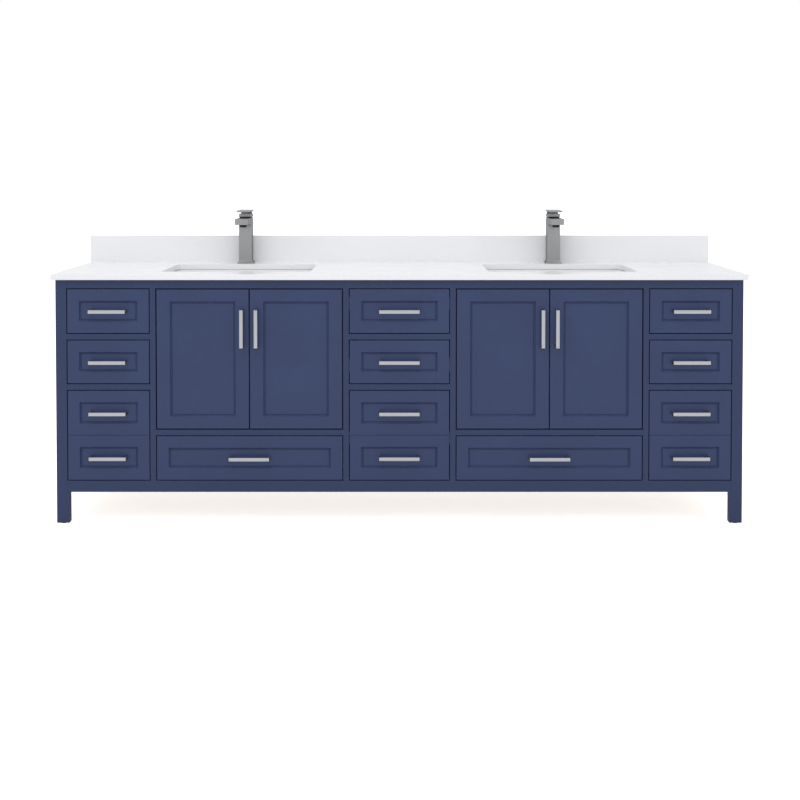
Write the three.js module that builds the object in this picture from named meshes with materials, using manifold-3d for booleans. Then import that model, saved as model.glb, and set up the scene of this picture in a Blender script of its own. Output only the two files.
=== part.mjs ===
// Double-basin bathroom vanity cabinet: a face-frame case on four legs, three banks of drawers, two basin
// bays with a pair of doors over a wide drawer, a stone worktop, two undermount basins and two mixer taps.
// Millimetres, +Z up, the front faces -Y. The origin is on the floor at the middle of the cabinet's box.
import * as THREE from "three";
import { mergeVertices } from "three/addons/utils/BufferGeometryUtils.js";
import Module from "manifold-3d";

const wasm = await Module();
wasm.setup();

// ---- Driving dimensions: worktop
const COUNTER_WIDTH = 2438.4;
const COUNTER_DEPTH = 558.8;
const COUNTER_THICKNESS = 20;
const COUNTER_TOP = 880; // above the floor
const SIDE_OVERHANG = 14.2;
const FRONT_OVERHANG = 14;
const BACKSPLASH_HEIGHT = 105;
const BACKSPLASH_THICKNESS = 20;

// ---- Driving dimensions: case and face frame
const LEG_HEIGHT = 112; // clear height under the case
const LEG_WIDTH = 44;
const POST_DEPTH = 28; // front to back thickness of a front leg, and the sideways one of a back leg
const FRAME_THICKNESS = 20;
const OUTER_STILE = 38;
const STILE = 20;
const TOP_RAIL = 30;
const MID_RAIL = 20;
const BOTTOM_RAIL = 40;
const SIDE_BANK_WIDTH = 292; // widths and heights of the openings in the frame
const CENTRE_BANK_WIDTH = 355;
const TOP_OPENING = 160;
const SECOND_OPENING = 157;
const WIDE_OPENING = 160;
const SIDE_PANEL_THICKNESS = 18;
const SIDE_PANEL_BORDER = 62;
const BACK_PANEL_THICKNESS = 12;
const FLOOR_THICKNESS = 15;
const DIVIDER_THICKNESS = 12;
const SHELF_THICKNESS = 15;
const WINDOW_MARGIN = 40; // from a bay's sides, shelf and top to the plumbing window in the back

// ---- Driving dimensions: doors and drawers
const FRONT_THICKNESS = 19;
const DRAWER_GAP = 3;
const DOOR_GAP = 4;
const DRAWER_BORDER = 41; // flat border round the recessed panel of a drawer front
const DOOR_STILE = 46.5;
const DOOR_RAIL = 42;
const PANEL_RECESS = 6;
const PANEL_BEVEL = 8;
const GROOVE_WIDTH = 3; // groove that splits a deep front into two false fronts
const GROOVE_DEPTH = 2;
const BOX_WALL = 12;
const BOX_FLOOR = 6;
const BOX_FLOOR_RAISE = 10; // the box floor sits above the lower edges of the walls
const BOX_LIFT = 12; // from the opening's lower edge to the box
const BOX_HEADROOM = 38; // from the box to the opening's upper edge
const BOX_BACK_SPACE = 56.5; // behind a closed drawer's box
const SLIDE_SPACE = 12.7; // for the slide on each side of a box

// ---- Driving dimensions: bar pulls
const PULL_SECTION = 12.7;
const PULL_THICKNESS = 8;
const PULL_PROJECTION = 32;
const PULL_FOOT = 8;
const SIDE_PULL = 130;
const WIDE_PULL = 142;
const DOOR_PULL = 134;
const DOOR_PULL_DROP = 69; // from the door's top edge to the pull

// ---- Driving dimensions: basins
const BASIN_WIDTH = 535; // of the cutout in the worktop, which the bowl's mouth meets
const BASIN_SETBACK = 110; // from the worktop's front edge
const BASIN_CORNER = 22;
const BASIN_WALL = 7;
const BASIN_FLANGE = 20; // how far the rim reaches out past the cutout
const BASIN_FLANGE_THICKNESS = 10;
const BOWL_DEPTH = 140;
const BOWL_LEAN = 8; // how far in the walls have come at the knee
const BOWL_KNEE = 20; // the wall turns towards the floor at this height, over this inset
const BOWL_FALL = 4; // of the floor towards the drain
const BOWL_FLOOR_INSET = 44;
const LEAST_CORNER = 2;
const DRAIN_RADIUS = 22.5;

// ---- Driving dimensions: taps
const TAP_SETBACK = 63.8; // from the worktop's back edge to the tap's centre
const TAP_OFFSET = 55; // from the tap's centre forward to the cutout's back edge
const TAP_OUTWARD = 12; // from the basin's middle out to the tap's centre, towards the nearer end
const TAP_FLANGE = 62;
const TAP_FLANGE_HEIGHT = 8;
const COLUMN_SIDE = 50;
const COLUMN_HEIGHT = 178;
const SPOUT_REACH = 110; // forward of the column's face
const SPOUT_HEIGHT = 23;
const AERATOR_RADIUS = 14;
const AERATOR_HEIGHT = 11;
const AERATOR_SETBACK = 36; // behind the spout's tip
const OUTLET_RADIUS = 10;
const OUTLET_DEPTH = 4;
const SHANK_RADIUS = 16;
const SHANK_LENGTH = 70;
const SHANK_CLEARANCE = 1.5; // round the shank in its hole
const CAP_HEIGHT = 12;
const CAP_NECK_RADIUS = 15;
const CAP_NECK_HEIGHT = 3;
const LEVER_THICKNESS = 6;
const LEVER_REACH = 60; // forward of the column's face
const LEVER_LIFT = 8; // clear height between the cap and the lever plate
const LEVER_BACK = 7; // how far the plate reaches behind its pin
const PIN_SETBACK = 18; // of the lever's pin behind the column's middle
const PIN_RADIUS = 5;
const PIN_LENGTH = 36;

// ---- Clearances
const GAP = 0.3; // between pieces that rest on, or stand against, each other
const DIVIDER_CLEARANCE = 15; // from a basin's rim down to the dividers
const BASIN_CLEARANCE = 1; // between a bowl and the divider beside it
const CUT_OVERRUN = 1; // how far a cutting shape stands out of the piece it cuts, and a joined one runs in
const ARC_STEPS = 6; // segments in a quarter of a bowl's corner
const ROUND_STEPS = 24; // sides of a round piece
const MERGE_TOLERANCE = 1e-4;

// ---- Places that follow from the driving dimensions
const FRONT_REACH = Math.max(PULL_PROJECTION - FRONT_OVERHANG, 0); // of the door pulls past the worktop
const BACK_Y = (COUNTER_DEPTH + FRONT_REACH) / 2;
const COUNTER_FRONT_Y = BACK_Y - COUNTER_DEPTH;
const FACE_Y = COUNTER_FRONT_Y + FRONT_OVERHANG;
const CASE_FRONT_Y = FACE_Y + FRAME_THICKNESS + GAP; // inner pieces start behind the frame
const PANEL_FRONT_Y = FACE_Y + POST_DEPTH + GAP; // side panels start behind the posts
const BACK_PANEL_Y = BACK_Y - BACK_PANEL_THICKNESS;
const COUNTER_BOTTOM = COUNTER_TOP - COUNTER_THICKNESS;
const CASE_TOP = COUNTER_BOTTOM - GAP;
const OPENINGS_TOP = CASE_TOP - TOP_RAIL;
const OPENINGS_BOTTOM = LEG_HEIGHT + BOTTOM_RAIL;
const FLOOR_BOTTOM = OPENINGS_BOTTOM - FLOOR_THICKNESS;
const HALF_WIDTH = COUNTER_WIDTH / 2 - SIDE_OVERHANG;
const INNER_HALF_WIDTH = HALF_WIDTH - SIDE_PANEL_THICKNESS;
const SIDE_BANK_X = HALF_WIDTH - OUTER_STILE - SIDE_BANK_WIDTH / 2;
const BAY_OUTER_X = HALF_WIDTH - OUTER_STILE - SIDE_BANK_WIDTH - STILE;
const BAY_INNER_X = CENTRE_BANK_WIDTH / 2 + STILE;
const BAY_WIDTH = BAY_OUTER_X - BAY_INNER_X;
const BAY_X = (BAY_OUTER_X + BAY_INNER_X) / 2;
const DIVIDER_TOP = CASE_TOP - BASIN_FLANGE_THICKNESS - DIVIDER_CLEARANCE;
const SHELF_TOP = OPENINGS_BOTTOM + WIDE_OPENING + MID_RAIL;
const DIVIDER_INSET = STILE - DIVIDER_THICKNESS; // a divider is flush with the bank's side of its stile
const BASIN_X = BAY_OUTER_X + DIVIDER_INSET - BASIN_CLEARANCE - BASIN_WALL - BASIN_WIDTH / 2;
const TAP_X = BASIN_X + TAP_OUTWARD;
const TAP_Y = BACK_Y - TAP_SETBACK;
const BASIN_BACK_Y = TAP_Y - TAP_OFFSET;
const BASIN_DEPTH = BASIN_BACK_Y - COUNTER_FRONT_Y - BASIN_SETBACK; // the bowl fills what is left
const BASIN_Y = BASIN_BACK_Y - BASIN_DEPTH / 2;
const BOX_LENGTH = BACK_PANEL_Y - BOX_BACK_SPACE - (FACE_Y + FRONT_THICKNESS + GAP);
const SIDES = [
  { name: "left", sign: -1 },
  { name: "right", sign: 1 },
];

// Openings of a bank from the top down. The deep one has a front with two panels and two pulls.
const SECOND_TOP = OPENINGS_TOP - TOP_OPENING - MID_RAIL;
const DEEP_TOP = SECOND_TOP - SECOND_OPENING - MID_RAIL;
const BANK_ROWS = [
  { name: "top", low: OPENINGS_TOP - TOP_OPENING, high: OPENINGS_TOP, panels: 1 },
  { name: "second", low: SECOND_TOP - SECOND_OPENING, high: SECOND_TOP, panels: 1 },
  { name: "deep", low: OPENINGS_BOTTOM, high: DEEP_TOP, panels: 2 },
];
const WIDE_ROW = { low: OPENINGS_BOTTOM, high: OPENINGS_BOTTOM + WIDE_OPENING, panels: 1 };
const DOOR_ROW = { low: SHELF_TOP, high: OPENINGS_TOP };
const BANKS = [
  { name: "left", x: -SIDE_BANK_X, width: SIDE_BANK_WIDTH, pull: SIDE_PULL },
  { name: "centre", x: 0, width: CENTRE_BANK_WIDTH, pull: WIDE_PULL },
  { name: "right", x: SIDE_BANK_X, width: SIDE_BANK_WIDTH, pull: SIDE_PULL },
];

// ---- Finishes
function finish(color, roughness, metalness) {
  return new THREE.MeshStandardMaterial({ color, roughness, metalness });
}
const PAINT = finish(0x414b65, 0.55, 0);
const PAINTED_FRONT = finish(0x46506c, 0.5, 0);
const BIRCH = finish(0xd8c3a0, 0.6, 0);
const STONE = finish(0xeeeef0, 0.3, 0);
const CERAMIC = finish(0xf4f4f4, 0.15, 0);
const NICKEL = finish(0x9a9894, 0.35, 1);

// ---- Shapes

// A box between two corners.
function block(low, high) {
  const size = high.map((value, i) => value - low[i]);
  const middle = high.map((value, i) => (value + low[i]) / 2);
  return new THREE.BoxGeometry(...size).translate(...middle);
}

function outline(points) {
  return new THREE.Shape(points.map(([a, b]) => new THREE.Vector2(a, b)));
}

function rectangle(left, right, low, high) {
  return outline([[left, low], [right, low], [right, high], [left, high]]);
}

// A rectangle with round corners, centred on x, y.
function roundedRectangle(x, y, width, depth, radius) {
  const path = new THREE.Shape();
  const corners = [[1, -1], [1, 1], [-1, 1], [-1, -1]];
  corners.forEach(([right, back], i) => {
    const centre = [x + right * (width / 2 - radius), y + back * (depth / 2 - radius)];
    path.absarc(...centre, radius, (i - 1) * Math.PI / 2, i * Math.PI / 2, false);
  });
  return path;
}

// A level plate: its outline is drawn in X and Y.
function levelPlate(shape, z, thickness) {
  const settings = { depth: thickness, bevelEnabled: false, curveSegments: ARC_STEPS };
  return new THREE.ExtrudeGeometry(shape, settings).translate(0, 0, z);
}

// A plate that stands across the cabinet: its outline is drawn in X and Z, and its front face is at y.
function uprightPlate(shape, y, thickness) {
  return levelPlate(shape, 0, thickness).rotateX(Math.PI / 2).translate(0, y + thickness, 0);
}

// An upright round bar.
function roundBar(radius, low, high) {
  const bar = new THREE.CylinderGeometry(radius, radius, high - low, ROUND_STEPS);
  return bar.rotateX(Math.PI / 2).translate(0, 0, (low + high) / 2);
}

// A closed skin through level rings of equal point count, from the lowest ring up.
function loft(rings) {
  const count = rings[0].points.length;
  const positions = [];
  const faces = [];
  for (const { points, z } of rings) {
    points.forEach((point) => positions.push(point.x, point.y, z));
  }
  for (let level = 0; level + 1 < rings.length; level++) {
    for (let i = 0; i < count; i++) {
      const [a, b] = [level * count + i, level * count + (i + 1) % count];
      faces.push(a, b, b + count, a, b + count, a + count);
    }
  }
  const last = (rings.length - 1) * count;
  for (let i = 1; i + 1 < count; i++) {
    faces.push(0, i + 1, i, last, last + i, last + i + 1);
  }
  const geometry = new THREE.BufferGeometry();
  geometry.setAttribute("position", new THREE.Float32BufferAttribute(positions, 3));
  geometry.setIndex(faces);
  return geometry;
}

// One ring of a bowl, inset all round from the bowl's mouth.
function bowlRing(inset, z) {
  const size = [BASIN_WIDTH - 2 * inset, BASIN_DEPTH - 2 * inset];
  const radius = Math.max(BASIN_CORNER - inset, LEAST_CORNER);
  const points = roundedRectangle(0, 0, ...size, radius).getPoints(ARC_STEPS);
  points.pop();
  return { points, z };
}

// ---- Joining and cutting
function solid(geometry) {
  const bare = geometry.index ? geometry.toNonIndexed() : geometry.clone();
  bare.deleteAttribute("normal");
  bare.deleteAttribute("uv");
  const merged = mergeVertices(bare, MERGE_TOLERANCE);
  return new wasm.Manifold(new wasm.Mesh({
    numProp: 3,
    vertProperties: merged.attributes.position.array,
    triVerts: new Uint32Array(merged.index.array),
  }));
}

function geometryOf(made) {
  const { vertProperties, triVerts } = made.getMesh();
  const geometry = new THREE.BufferGeometry();
  geometry.setAttribute("position", new THREE.BufferAttribute(vertProperties, 3));
  geometry.setIndex(new THREE.BufferAttribute(triVerts, 1));
  return geometry;
}

function join(first, ...others) {
  return geometryOf(others.reduce((made, piece) => made.add(solid(piece)), solid(first)));
}

function cut(piece, ...cutters) {
  return geometryOf(cutters.reduce((made, cutter) => made.subtract(solid(cutter)), solid(piece)));
}

function addMesh(parent, name, geometry, material) {
  const mesh = new THREE.Mesh(geometry, material);
  mesh.name = name;
  parent.add(mesh);
  return mesh;
}

function addGroup(parent, x, y, z) {
  const group = new THREE.Group();
  group.position.set(x, y, z);
  parent.add(group);
  return group;
}

// ---- Face frame: stiles and rails glued into one frame, with the corner posts running down as legs
function openingInFrame(x, width, row) {
  const [front, back] = [FACE_Y - CUT_OVERRUN, FACE_Y + POST_DEPTH + CUT_OVERRUN];
  return block([x - width / 2, front, row.low], [x + width / 2, back, row.high]);
}

function faceFrame() {
  const foot = HALF_WIDTH - LEG_WIDTH;
  const stile = HALF_WIDTH - OUTER_STILE;
  const frame = uprightPlate(outline([
    [-HALF_WIDTH, 0], [-foot, 0], [-foot, LEG_HEIGHT], [foot, LEG_HEIGHT],
    [foot, 0], [HALF_WIDTH, 0], [HALF_WIDTH, CASE_TOP], [-HALF_WIDTH, CASE_TOP],
  ]), FACE_Y, FRAME_THICKNESS);
  const posts = SIDES.map(({ sign }) => uprightPlate(outline([
    [sign * HALF_WIDTH, 0], [sign * foot, 0], [sign * foot, LEG_HEIGHT],
    [sign * stile, LEG_HEIGHT], [sign * stile, CASE_TOP], [sign * HALF_WIDTH, CASE_TOP],
  ]), FACE_Y, POST_DEPTH));
  const banks = BANKS.flatMap((bank) => BANK_ROWS.map((row) => openingInFrame(bank.x, bank.width, row)));
  const bays = SIDES.flatMap(({ sign }) => (
    [DOOR_ROW, WIDE_ROW].map((row) => openingInFrame(sign * BAY_X, BAY_WIDTH, row))
  ));
  return cut(join(frame, ...posts), ...banks, ...bays);
}

// The space in front of a recessed panel: its mouth is in the face at y 0, and it narrows by the bevel.
function panelRecess(x, z, width, height) {
  const space = block([-width / 2, -CUT_OVERRUN, -height / 2], [width / 2, PANEL_RECESS, height / 2]);
  const place = space.attributes.position;
  for (let i = 0; i < place.count; i++) {
    const inward = place.getY(i) * PANEL_BEVEL / PANEL_RECESS;
    place.setX(i, place.getX(i) - Math.sign(place.getX(i)) * inward);
    place.setZ(i, place.getZ(i) - Math.sign(place.getZ(i)) * inward);
  }
  return space.translate(x, 0, z);
}

// ---- Side panel with its back leg. Its outer face is at y 0 here, and `back` is the end the leg is at.
function sidePanel(back) {
  const half = (BACK_Y - PANEL_FRONT_Y) / 2;
  const height = CASE_TOP - LEG_HEIGHT;
  const border = 2 * SIDE_PANEL_BORDER;
  const panel = block([-half, 0, LEG_HEIGHT], [half, SIDE_PANEL_THICKNESS, CASE_TOP]);
  const [from, to] = [back * half, back * (half - LEG_WIDTH)];
  const leg = block([Math.min(from, to), 0, 0], [Math.max(from, to), POST_DEPTH, FLOOR_BOTTOM - GAP]);
  const recess = panelRecess(0, LEG_HEIGHT + height / 2, 2 * half - border, height - border);
  return cut(join(panel, leg), recess);
}

// ---- Case of a basin bay: two dividers with the shelf over the wide drawer between them
function bayCase() {
  const outer = BAY_WIDTH / 2 + STILE;
  const inner = outer - DIVIDER_THICKNESS;
  const low = OPENINGS_BOTTOM + GAP;
  const shelfBottom = SHELF_TOP - SHELF_THICKNESS;
  const shape = outline([
    [-outer, low], [-inner, low], [-inner, shelfBottom], [inner, shelfBottom], [inner, low], [outer, low],
    [outer, DIVIDER_TOP], [inner, DIVIDER_TOP], [inner, SHELF_TOP], [-inner, SHELF_TOP],
    [-inner, DIVIDER_TOP], [-outer, DIVIDER_TOP],
  ]);
  return uprightPlate(shape, CASE_FRONT_Y, BACK_PANEL_Y - GAP - CASE_FRONT_Y);
}

// ---- Floor and back: the floor is notched round the front posts, the back is open behind each bay
function floorAndBack() {
  const side = INNER_HALF_WIDTH - GAP;
  const notch = HALF_WIDTH - OUTER_STILE - GAP;
  const floor = levelPlate(outline([
    [-notch, CASE_FRONT_Y], [notch, CASE_FRONT_Y], [notch, PANEL_FRONT_Y], [side, PANEL_FRONT_Y],
    [side, BACK_PANEL_Y + CUT_OVERRUN], [-side, BACK_PANEL_Y + CUT_OVERRUN],
    [-side, PANEL_FRONT_Y], [-notch, PANEL_FRONT_Y],
  ]), FLOOR_BOTTOM, FLOOR_THICKNESS);
  const back = block([-side, BACK_PANEL_Y, FLOOR_BOTTOM], [side, BACK_Y, CASE_TOP]);
  const half = BAY_WIDTH / 2 - WINDOW_MARGIN;
  const windows = SIDES.map(({ sign }) => block(
    [sign * BAY_X - half, BACK_PANEL_Y - CUT_OVERRUN, SHELF_TOP + WINDOW_MARGIN],
    [sign * BAY_X + half, BACK_Y + CUT_OVERRUN, CASE_TOP - WINDOW_MARGIN],
  ));
  return cut(join(floor, back), ...windows);
}

// ---- Worktop with its basin cutouts and tap holes
function countertop() {
  const half = COUNTER_WIDTH / 2;
  const shape = rectangle(-half, half, COUNTER_FRONT_Y, BACK_Y);
  for (const { sign } of SIDES) {
    shape.holes.push(roundedRectangle(sign * BASIN_X, BASIN_Y, BASIN_WIDTH, BASIN_DEPTH, BASIN_CORNER));
    const hole = new THREE.Path();
    hole.absarc(sign * TAP_X, TAP_Y, SHANK_RADIUS + SHANK_CLEARANCE, 0, 2 * Math.PI, false);
    shape.holes.push(hole);
  }
  return levelPlate(shape, COUNTER_BOTTOM, COUNTER_THICKNESS);
}

function backsplash() {
  const half = COUNTER_WIDTH / 2;
  const low = COUNTER_TOP + GAP;
  return block([-half, BACK_Y - BACKSPLASH_THICKNESS, low], [half, BACK_Y, low + BACKSPLASH_HEIGHT]);
}

// ---- Basin: z 0 is the top of its rim. The walls lean in a little, and round into a floor with a drain.
function basin() {
  const bottom = -BOWL_DEPTH;
  const rim = loft([
    bowlRing(-BASIN_FLANGE, -BASIN_FLANGE_THICKNESS),
    bowlRing(-BASIN_FLANGE, 0),
  ]);
  const outside = loft([
    bowlRing(BOWL_FLOOR_INSET - BASIN_WALL, bottom - BASIN_WALL),
    bowlRing(BOWL_KNEE - BASIN_WALL, bottom + BOWL_FALL),
    bowlRing(BOWL_LEAN - BASIN_WALL, bottom + BOWL_KNEE),
    bowlRing(-BASIN_WALL, -CUT_OVERRUN),
  ]);
  const inside = loft([
    bowlRing(BOWL_FLOOR_INSET, bottom),
    bowlRing(BOWL_KNEE, bottom + BOWL_FALL),
    bowlRing(BOWL_LEAN, bottom + BOWL_KNEE),
    bowlRing(0, 0),
    bowlRing(0, CUT_OVERRUN),
  ]);
  const drain = roundBar(DRAIN_RADIUS, bottom - BASIN_WALL - CUT_OVERRUN, bottom + CUT_OVERRUN);
  return cut(join(rim, outside), inside, drain);
}

// ---- Mixer tap: z 0 is the worktop, and y 0 the middle of the column
function tapBody() {
  const half = COLUMN_SIDE / 2;
  const flange = TAP_FLANGE / 2;
  const spoutLow = COLUMN_HEIGHT - SPOUT_HEIGHT;
  const outletY = -half - SPOUT_REACH + AERATOR_RADIUS + AERATOR_SETBACK;
  const outletLow = spoutLow - AERATOR_HEIGHT;
  return cut(
    join(
      block([-flange, -flange, GAP], [flange, flange, TAP_FLANGE_HEIGHT]),
      block([-half, -half, GAP], [half, half, COLUMN_HEIGHT]),
      block([-half, -half - SPOUT_REACH, spoutLow], [half, -half + CUT_OVERRUN, COLUMN_HEIGHT]),
      roundBar(AERATOR_RADIUS, outletLow, spoutLow + CUT_OVERRUN).translate(0, outletY, 0),
      roundBar(SHANK_RADIUS, -SHANK_LENGTH, TAP_FLANGE_HEIGHT),
    ),
    roundBar(OUTLET_RADIUS, outletLow - CUT_OVERRUN, outletLow + OUTLET_DEPTH).translate(0, outletY, 0),
  );
}

const CAP_LOW = COLUMN_HEIGHT + CAP_NECK_HEIGHT;
const CAP_TOP = CAP_LOW + CAP_HEIGHT;
function tapCap() {
  const half = COLUMN_SIDE / 2;
  return join(
    block([-half, -half, CAP_LOW], [half, half, CAP_TOP]),
    roundBar(CAP_NECK_RADIUS, COLUMN_HEIGHT + GAP, CAP_LOW + CUT_OVERRUN),
  );
}

// The lever turns about a pin that lies across it, y 0 and z 0 here.
function tapLever() {
  const half = COLUMN_SIDE / 2;
  const front = -half - LEVER_REACH - PIN_SETBACK;
  const low = LEVER_LIFT - PIN_RADIUS - GAP;
  const pin = new THREE.CylinderGeometry(PIN_RADIUS, PIN_RADIUS, PIN_LENGTH, ROUND_STEPS).rotateZ(Math.PI / 2);
  return join(block([-half, front, low], [half, LEVER_BACK, low + LEVER_THICKNESS]), pin);
}

// ---- Bar pull: lies along X, its feet stand on a face at y 0
function barPull(length) {
  const half = length / 2;
  const bar = -PULL_PROJECTION;
  const inner = half - PULL_FOOT;
  const shape = outline([
    [-half, bar], [half, bar], [half, -GAP], [inner, -GAP],
    [inner, bar + PULL_THICKNESS], [-inner, bar + PULL_THICKNESS], [-inner, -GAP], [-half, -GAP],
  ]);
  return levelPlate(shape, -PULL_SECTION / 2, PULL_SECTION);
}

// ---- Drawer: the group's origin is the middle of its opening, in the frame's face. The pulls stand on
// the recessed panels.
function drawerFront(width, height, panels) {
  const part = height / panels;
  const front = block([-width / 2, 0, -height / 2], [width / 2, FRONT_THICKNESS, height / 2]);
  const cuts = [];
  for (let i = 0; i < panels; i++) {
    const z = (i - (panels - 1) / 2) * part;
    cuts.push(panelRecess(0, z, width - 2 * DRAWER_BORDER, part - 2 * DRAWER_BORDER));
  }
  for (let i = 1; i < panels; i++) {
    const z = -height / 2 + i * part;
    cuts.push(block(
      [-width / 2 - CUT_OVERRUN, -CUT_OVERRUN, z - GROOVE_WIDTH / 2],
      [width / 2 + CUT_OVERRUN, GROOVE_DEPTH, z + GROOVE_WIDTH / 2],
    ));
  }
  return cut(front, ...cuts);
}

function drawerBox(width, height, low) {
  const half = width / 2;
  const front = FRONT_THICKNESS + GAP;
  const back = front + BOX_LENGTH;
  const floorLow = low + BOX_FLOOR_RAISE;
  return cut(
    block([-half, front, low], [half, back, low + height]),
    block(
      [-half + BOX_WALL, front + BOX_WALL, floorLow + BOX_FLOOR],
      [half - BOX_WALL, back - BOX_WALL, low + height + CUT_OVERRUN],
    ),
    block(
      [-half + BOX_WALL, front + BOX_WALL, low - CUT_OVERRUN],
      [half - BOX_WALL, back - BOX_WALL, floorLow],
    ),
  );
}

function addDrawer(parent, name, x, width, row, pull) {
  const middle = (row.low + row.high) / 2;
  const height = row.high - row.low;
  const drawer = addGroup(parent, x, FACE_Y, middle);
  const frontHeight = height - 2 * DRAWER_GAP;
  addMesh(drawer, `${name}_front`, drawerFront(width - 2 * DRAWER_GAP, frontHeight, row.panels), PAINTED_FRONT);
  const boxHeight = height - BOX_LIFT - BOX_HEADROOM;
  const boxGeometry = drawerBox(width - 2 * SLIDE_SPACE, boxHeight, BOX_LIFT - height / 2);
  addMesh(drawer, `${name}_box`, boxGeometry, BIRCH);
  for (let i = 0; i < row.panels; i++) {
    const label = row.panels === 1 ? "pull" : ["lower_pull", "upper_pull"][i];
    const mesh = addMesh(drawer, `${name}_${label}`, barPull(pull), NICKEL);
    mesh.position.y = PANEL_RECESS;
    mesh.position.z = (i - (row.panels - 1) / 2) * frontHeight / row.panels;
  }
}

// ---- Door: the group's origin is on the hinge axis, in the frame's face, at the middle of the opening.
// `away` is the side of the hinge that the leaf is on.
function addDoor(parent, name, hingeX, away) {
  const width = (BAY_WIDTH - 3 * DOOR_GAP) / 2;
  const height = DOOR_ROW.high - DOOR_ROW.low - 2 * DOOR_GAP;
  const door = addGroup(parent, hingeX, FACE_Y, (DOOR_ROW.low + DOOR_ROW.high) / 2);
  const x = away * (DOOR_GAP / 2 + width / 2);
  const leaf = block([x - width / 2, 0, -height / 2], [x + width / 2, FRONT_THICKNESS, height / 2]);
  const recess = panelRecess(x, 0, width - 2 * DOOR_STILE, height - 2 * DOOR_RAIL);
  addMesh(door, `${name}_leaf`, cut(leaf, recess), PAINTED_FRONT);
  const pull = addMesh(door, `${name}_pull`, barPull(DOOR_PULL), NICKEL);
  pull.rotation.y = Math.PI / 2;
  const pullX = x + away * (width - DOOR_STILE) / 2;
  pull.position.set(pullX, 0, height / 2 - DOOR_PULL_DROP - DOOR_PULL / 2);
}

// ---- The whole cabinet
const group = new THREE.Group();
addMesh(group, "face_frame", faceFrame(), PAINT);
addMesh(group, "floor_and_back", floorAndBack(), BIRCH);
addMesh(group, "countertop", countertop(), STONE);
addMesh(group, "backsplash", backsplash(), STONE);

for (const { name, sign } of SIDES) {
  const side = addMesh(group, `side_panel_${name}`, sidePanel(sign), PAINT);
  side.position.set(sign * HALF_WIDTH, (BACK_Y + PANEL_FRONT_Y) / 2, 0);
  side.rotation.z = sign * Math.PI / 2;

  const bay = addGroup(group, sign * BAY_X, 0, 0);
  addMesh(bay, `bay_case_${name}`, bayCase(), BIRCH);

  const bowl = addMesh(group, `basin_${name}`, basin(), CERAMIC);
  bowl.position.set(sign * BASIN_X, BASIN_Y, CASE_TOP);

  const tap = addGroup(group, sign * TAP_X, TAP_Y, COUNTER_TOP);
  addMesh(tap, `faucet_body_${name}`, tapBody(), NICKEL);
  addMesh(tap, `faucet_cap_${name}`, tapCap(), NICKEL);
  const lever = addMesh(tap, `faucet_lever_${name}`, tapLever(), NICKEL);
  lever.position.set(0, PIN_SETBACK, CAP_TOP + GAP + PIN_RADIUS);

  addDoor(group, `${name}_bay_outer_door`, sign * (BAY_OUTER_X - DOOR_GAP / 2), -sign);
  addDoor(group, `${name}_bay_inner_door`, sign * (BAY_INNER_X + DOOR_GAP / 2), sign);
  addDrawer(group, `${name}_wide_drawer`, sign * BAY_X, BAY_WIDTH, WIDE_ROW, WIDE_PULL);
}

for (const bank of BANKS) {
  for (const row of BANK_ROWS) {
    addDrawer(group, `${bank.name}_${row.name}_drawer`, bank.x, bank.width, row, bank.pull);
  }
}

export default group;
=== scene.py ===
"""A double-basin bathroom vanity, built round its fixed frame. Metres, +Z up, front at -Y."""

import math

import bmesh
import bpy
from bpy.props import FloatProperty, FloatVectorProperty, PointerProperty
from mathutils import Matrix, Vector


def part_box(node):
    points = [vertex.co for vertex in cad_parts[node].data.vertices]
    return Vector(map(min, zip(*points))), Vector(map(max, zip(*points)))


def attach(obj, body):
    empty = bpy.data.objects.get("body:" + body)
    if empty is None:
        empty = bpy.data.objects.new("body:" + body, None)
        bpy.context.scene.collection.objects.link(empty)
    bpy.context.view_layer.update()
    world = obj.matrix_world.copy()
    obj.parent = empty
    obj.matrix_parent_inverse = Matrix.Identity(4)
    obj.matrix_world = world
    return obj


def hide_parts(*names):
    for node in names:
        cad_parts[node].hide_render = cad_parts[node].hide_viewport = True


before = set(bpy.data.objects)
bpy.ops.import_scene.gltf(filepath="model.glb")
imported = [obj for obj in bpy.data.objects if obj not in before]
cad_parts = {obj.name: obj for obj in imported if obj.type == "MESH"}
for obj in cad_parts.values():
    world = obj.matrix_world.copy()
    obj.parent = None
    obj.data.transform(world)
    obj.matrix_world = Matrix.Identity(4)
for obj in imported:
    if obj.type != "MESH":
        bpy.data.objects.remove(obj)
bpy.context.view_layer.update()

bl_info = {
    "name": "Bathroom vanity",
    "version": (1, 0, 0),
    "blender": (4, 5, 0),
    "location": "3D View > Sidebar > Vanity",
    "description": "Builds a double-basin bathroom vanity, piece by piece, round its fixed frame",
    "category": "Add Mesh",
}

MM = 0.001
X, Y, Z = 0, 1, 2

# ---- Names of the frame's bodies and nodes
CABINET = "cabinet"
SIDES = (("left", -1), ("right", 1))
BANKS = ("left", "centre", "right")
ROWS = ("top", "second", "deep")
DRAWERS = [f"{bank}_{row}_drawer" for bank in BANKS for row in ROWS]
DRAWERS += [f"{side}_wide_drawer" for side, _ in SIDES]
DOORS = [f"{side}_bay_{place}_door" for side, _ in SIDES for place in ("outer", "inner")]

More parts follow.
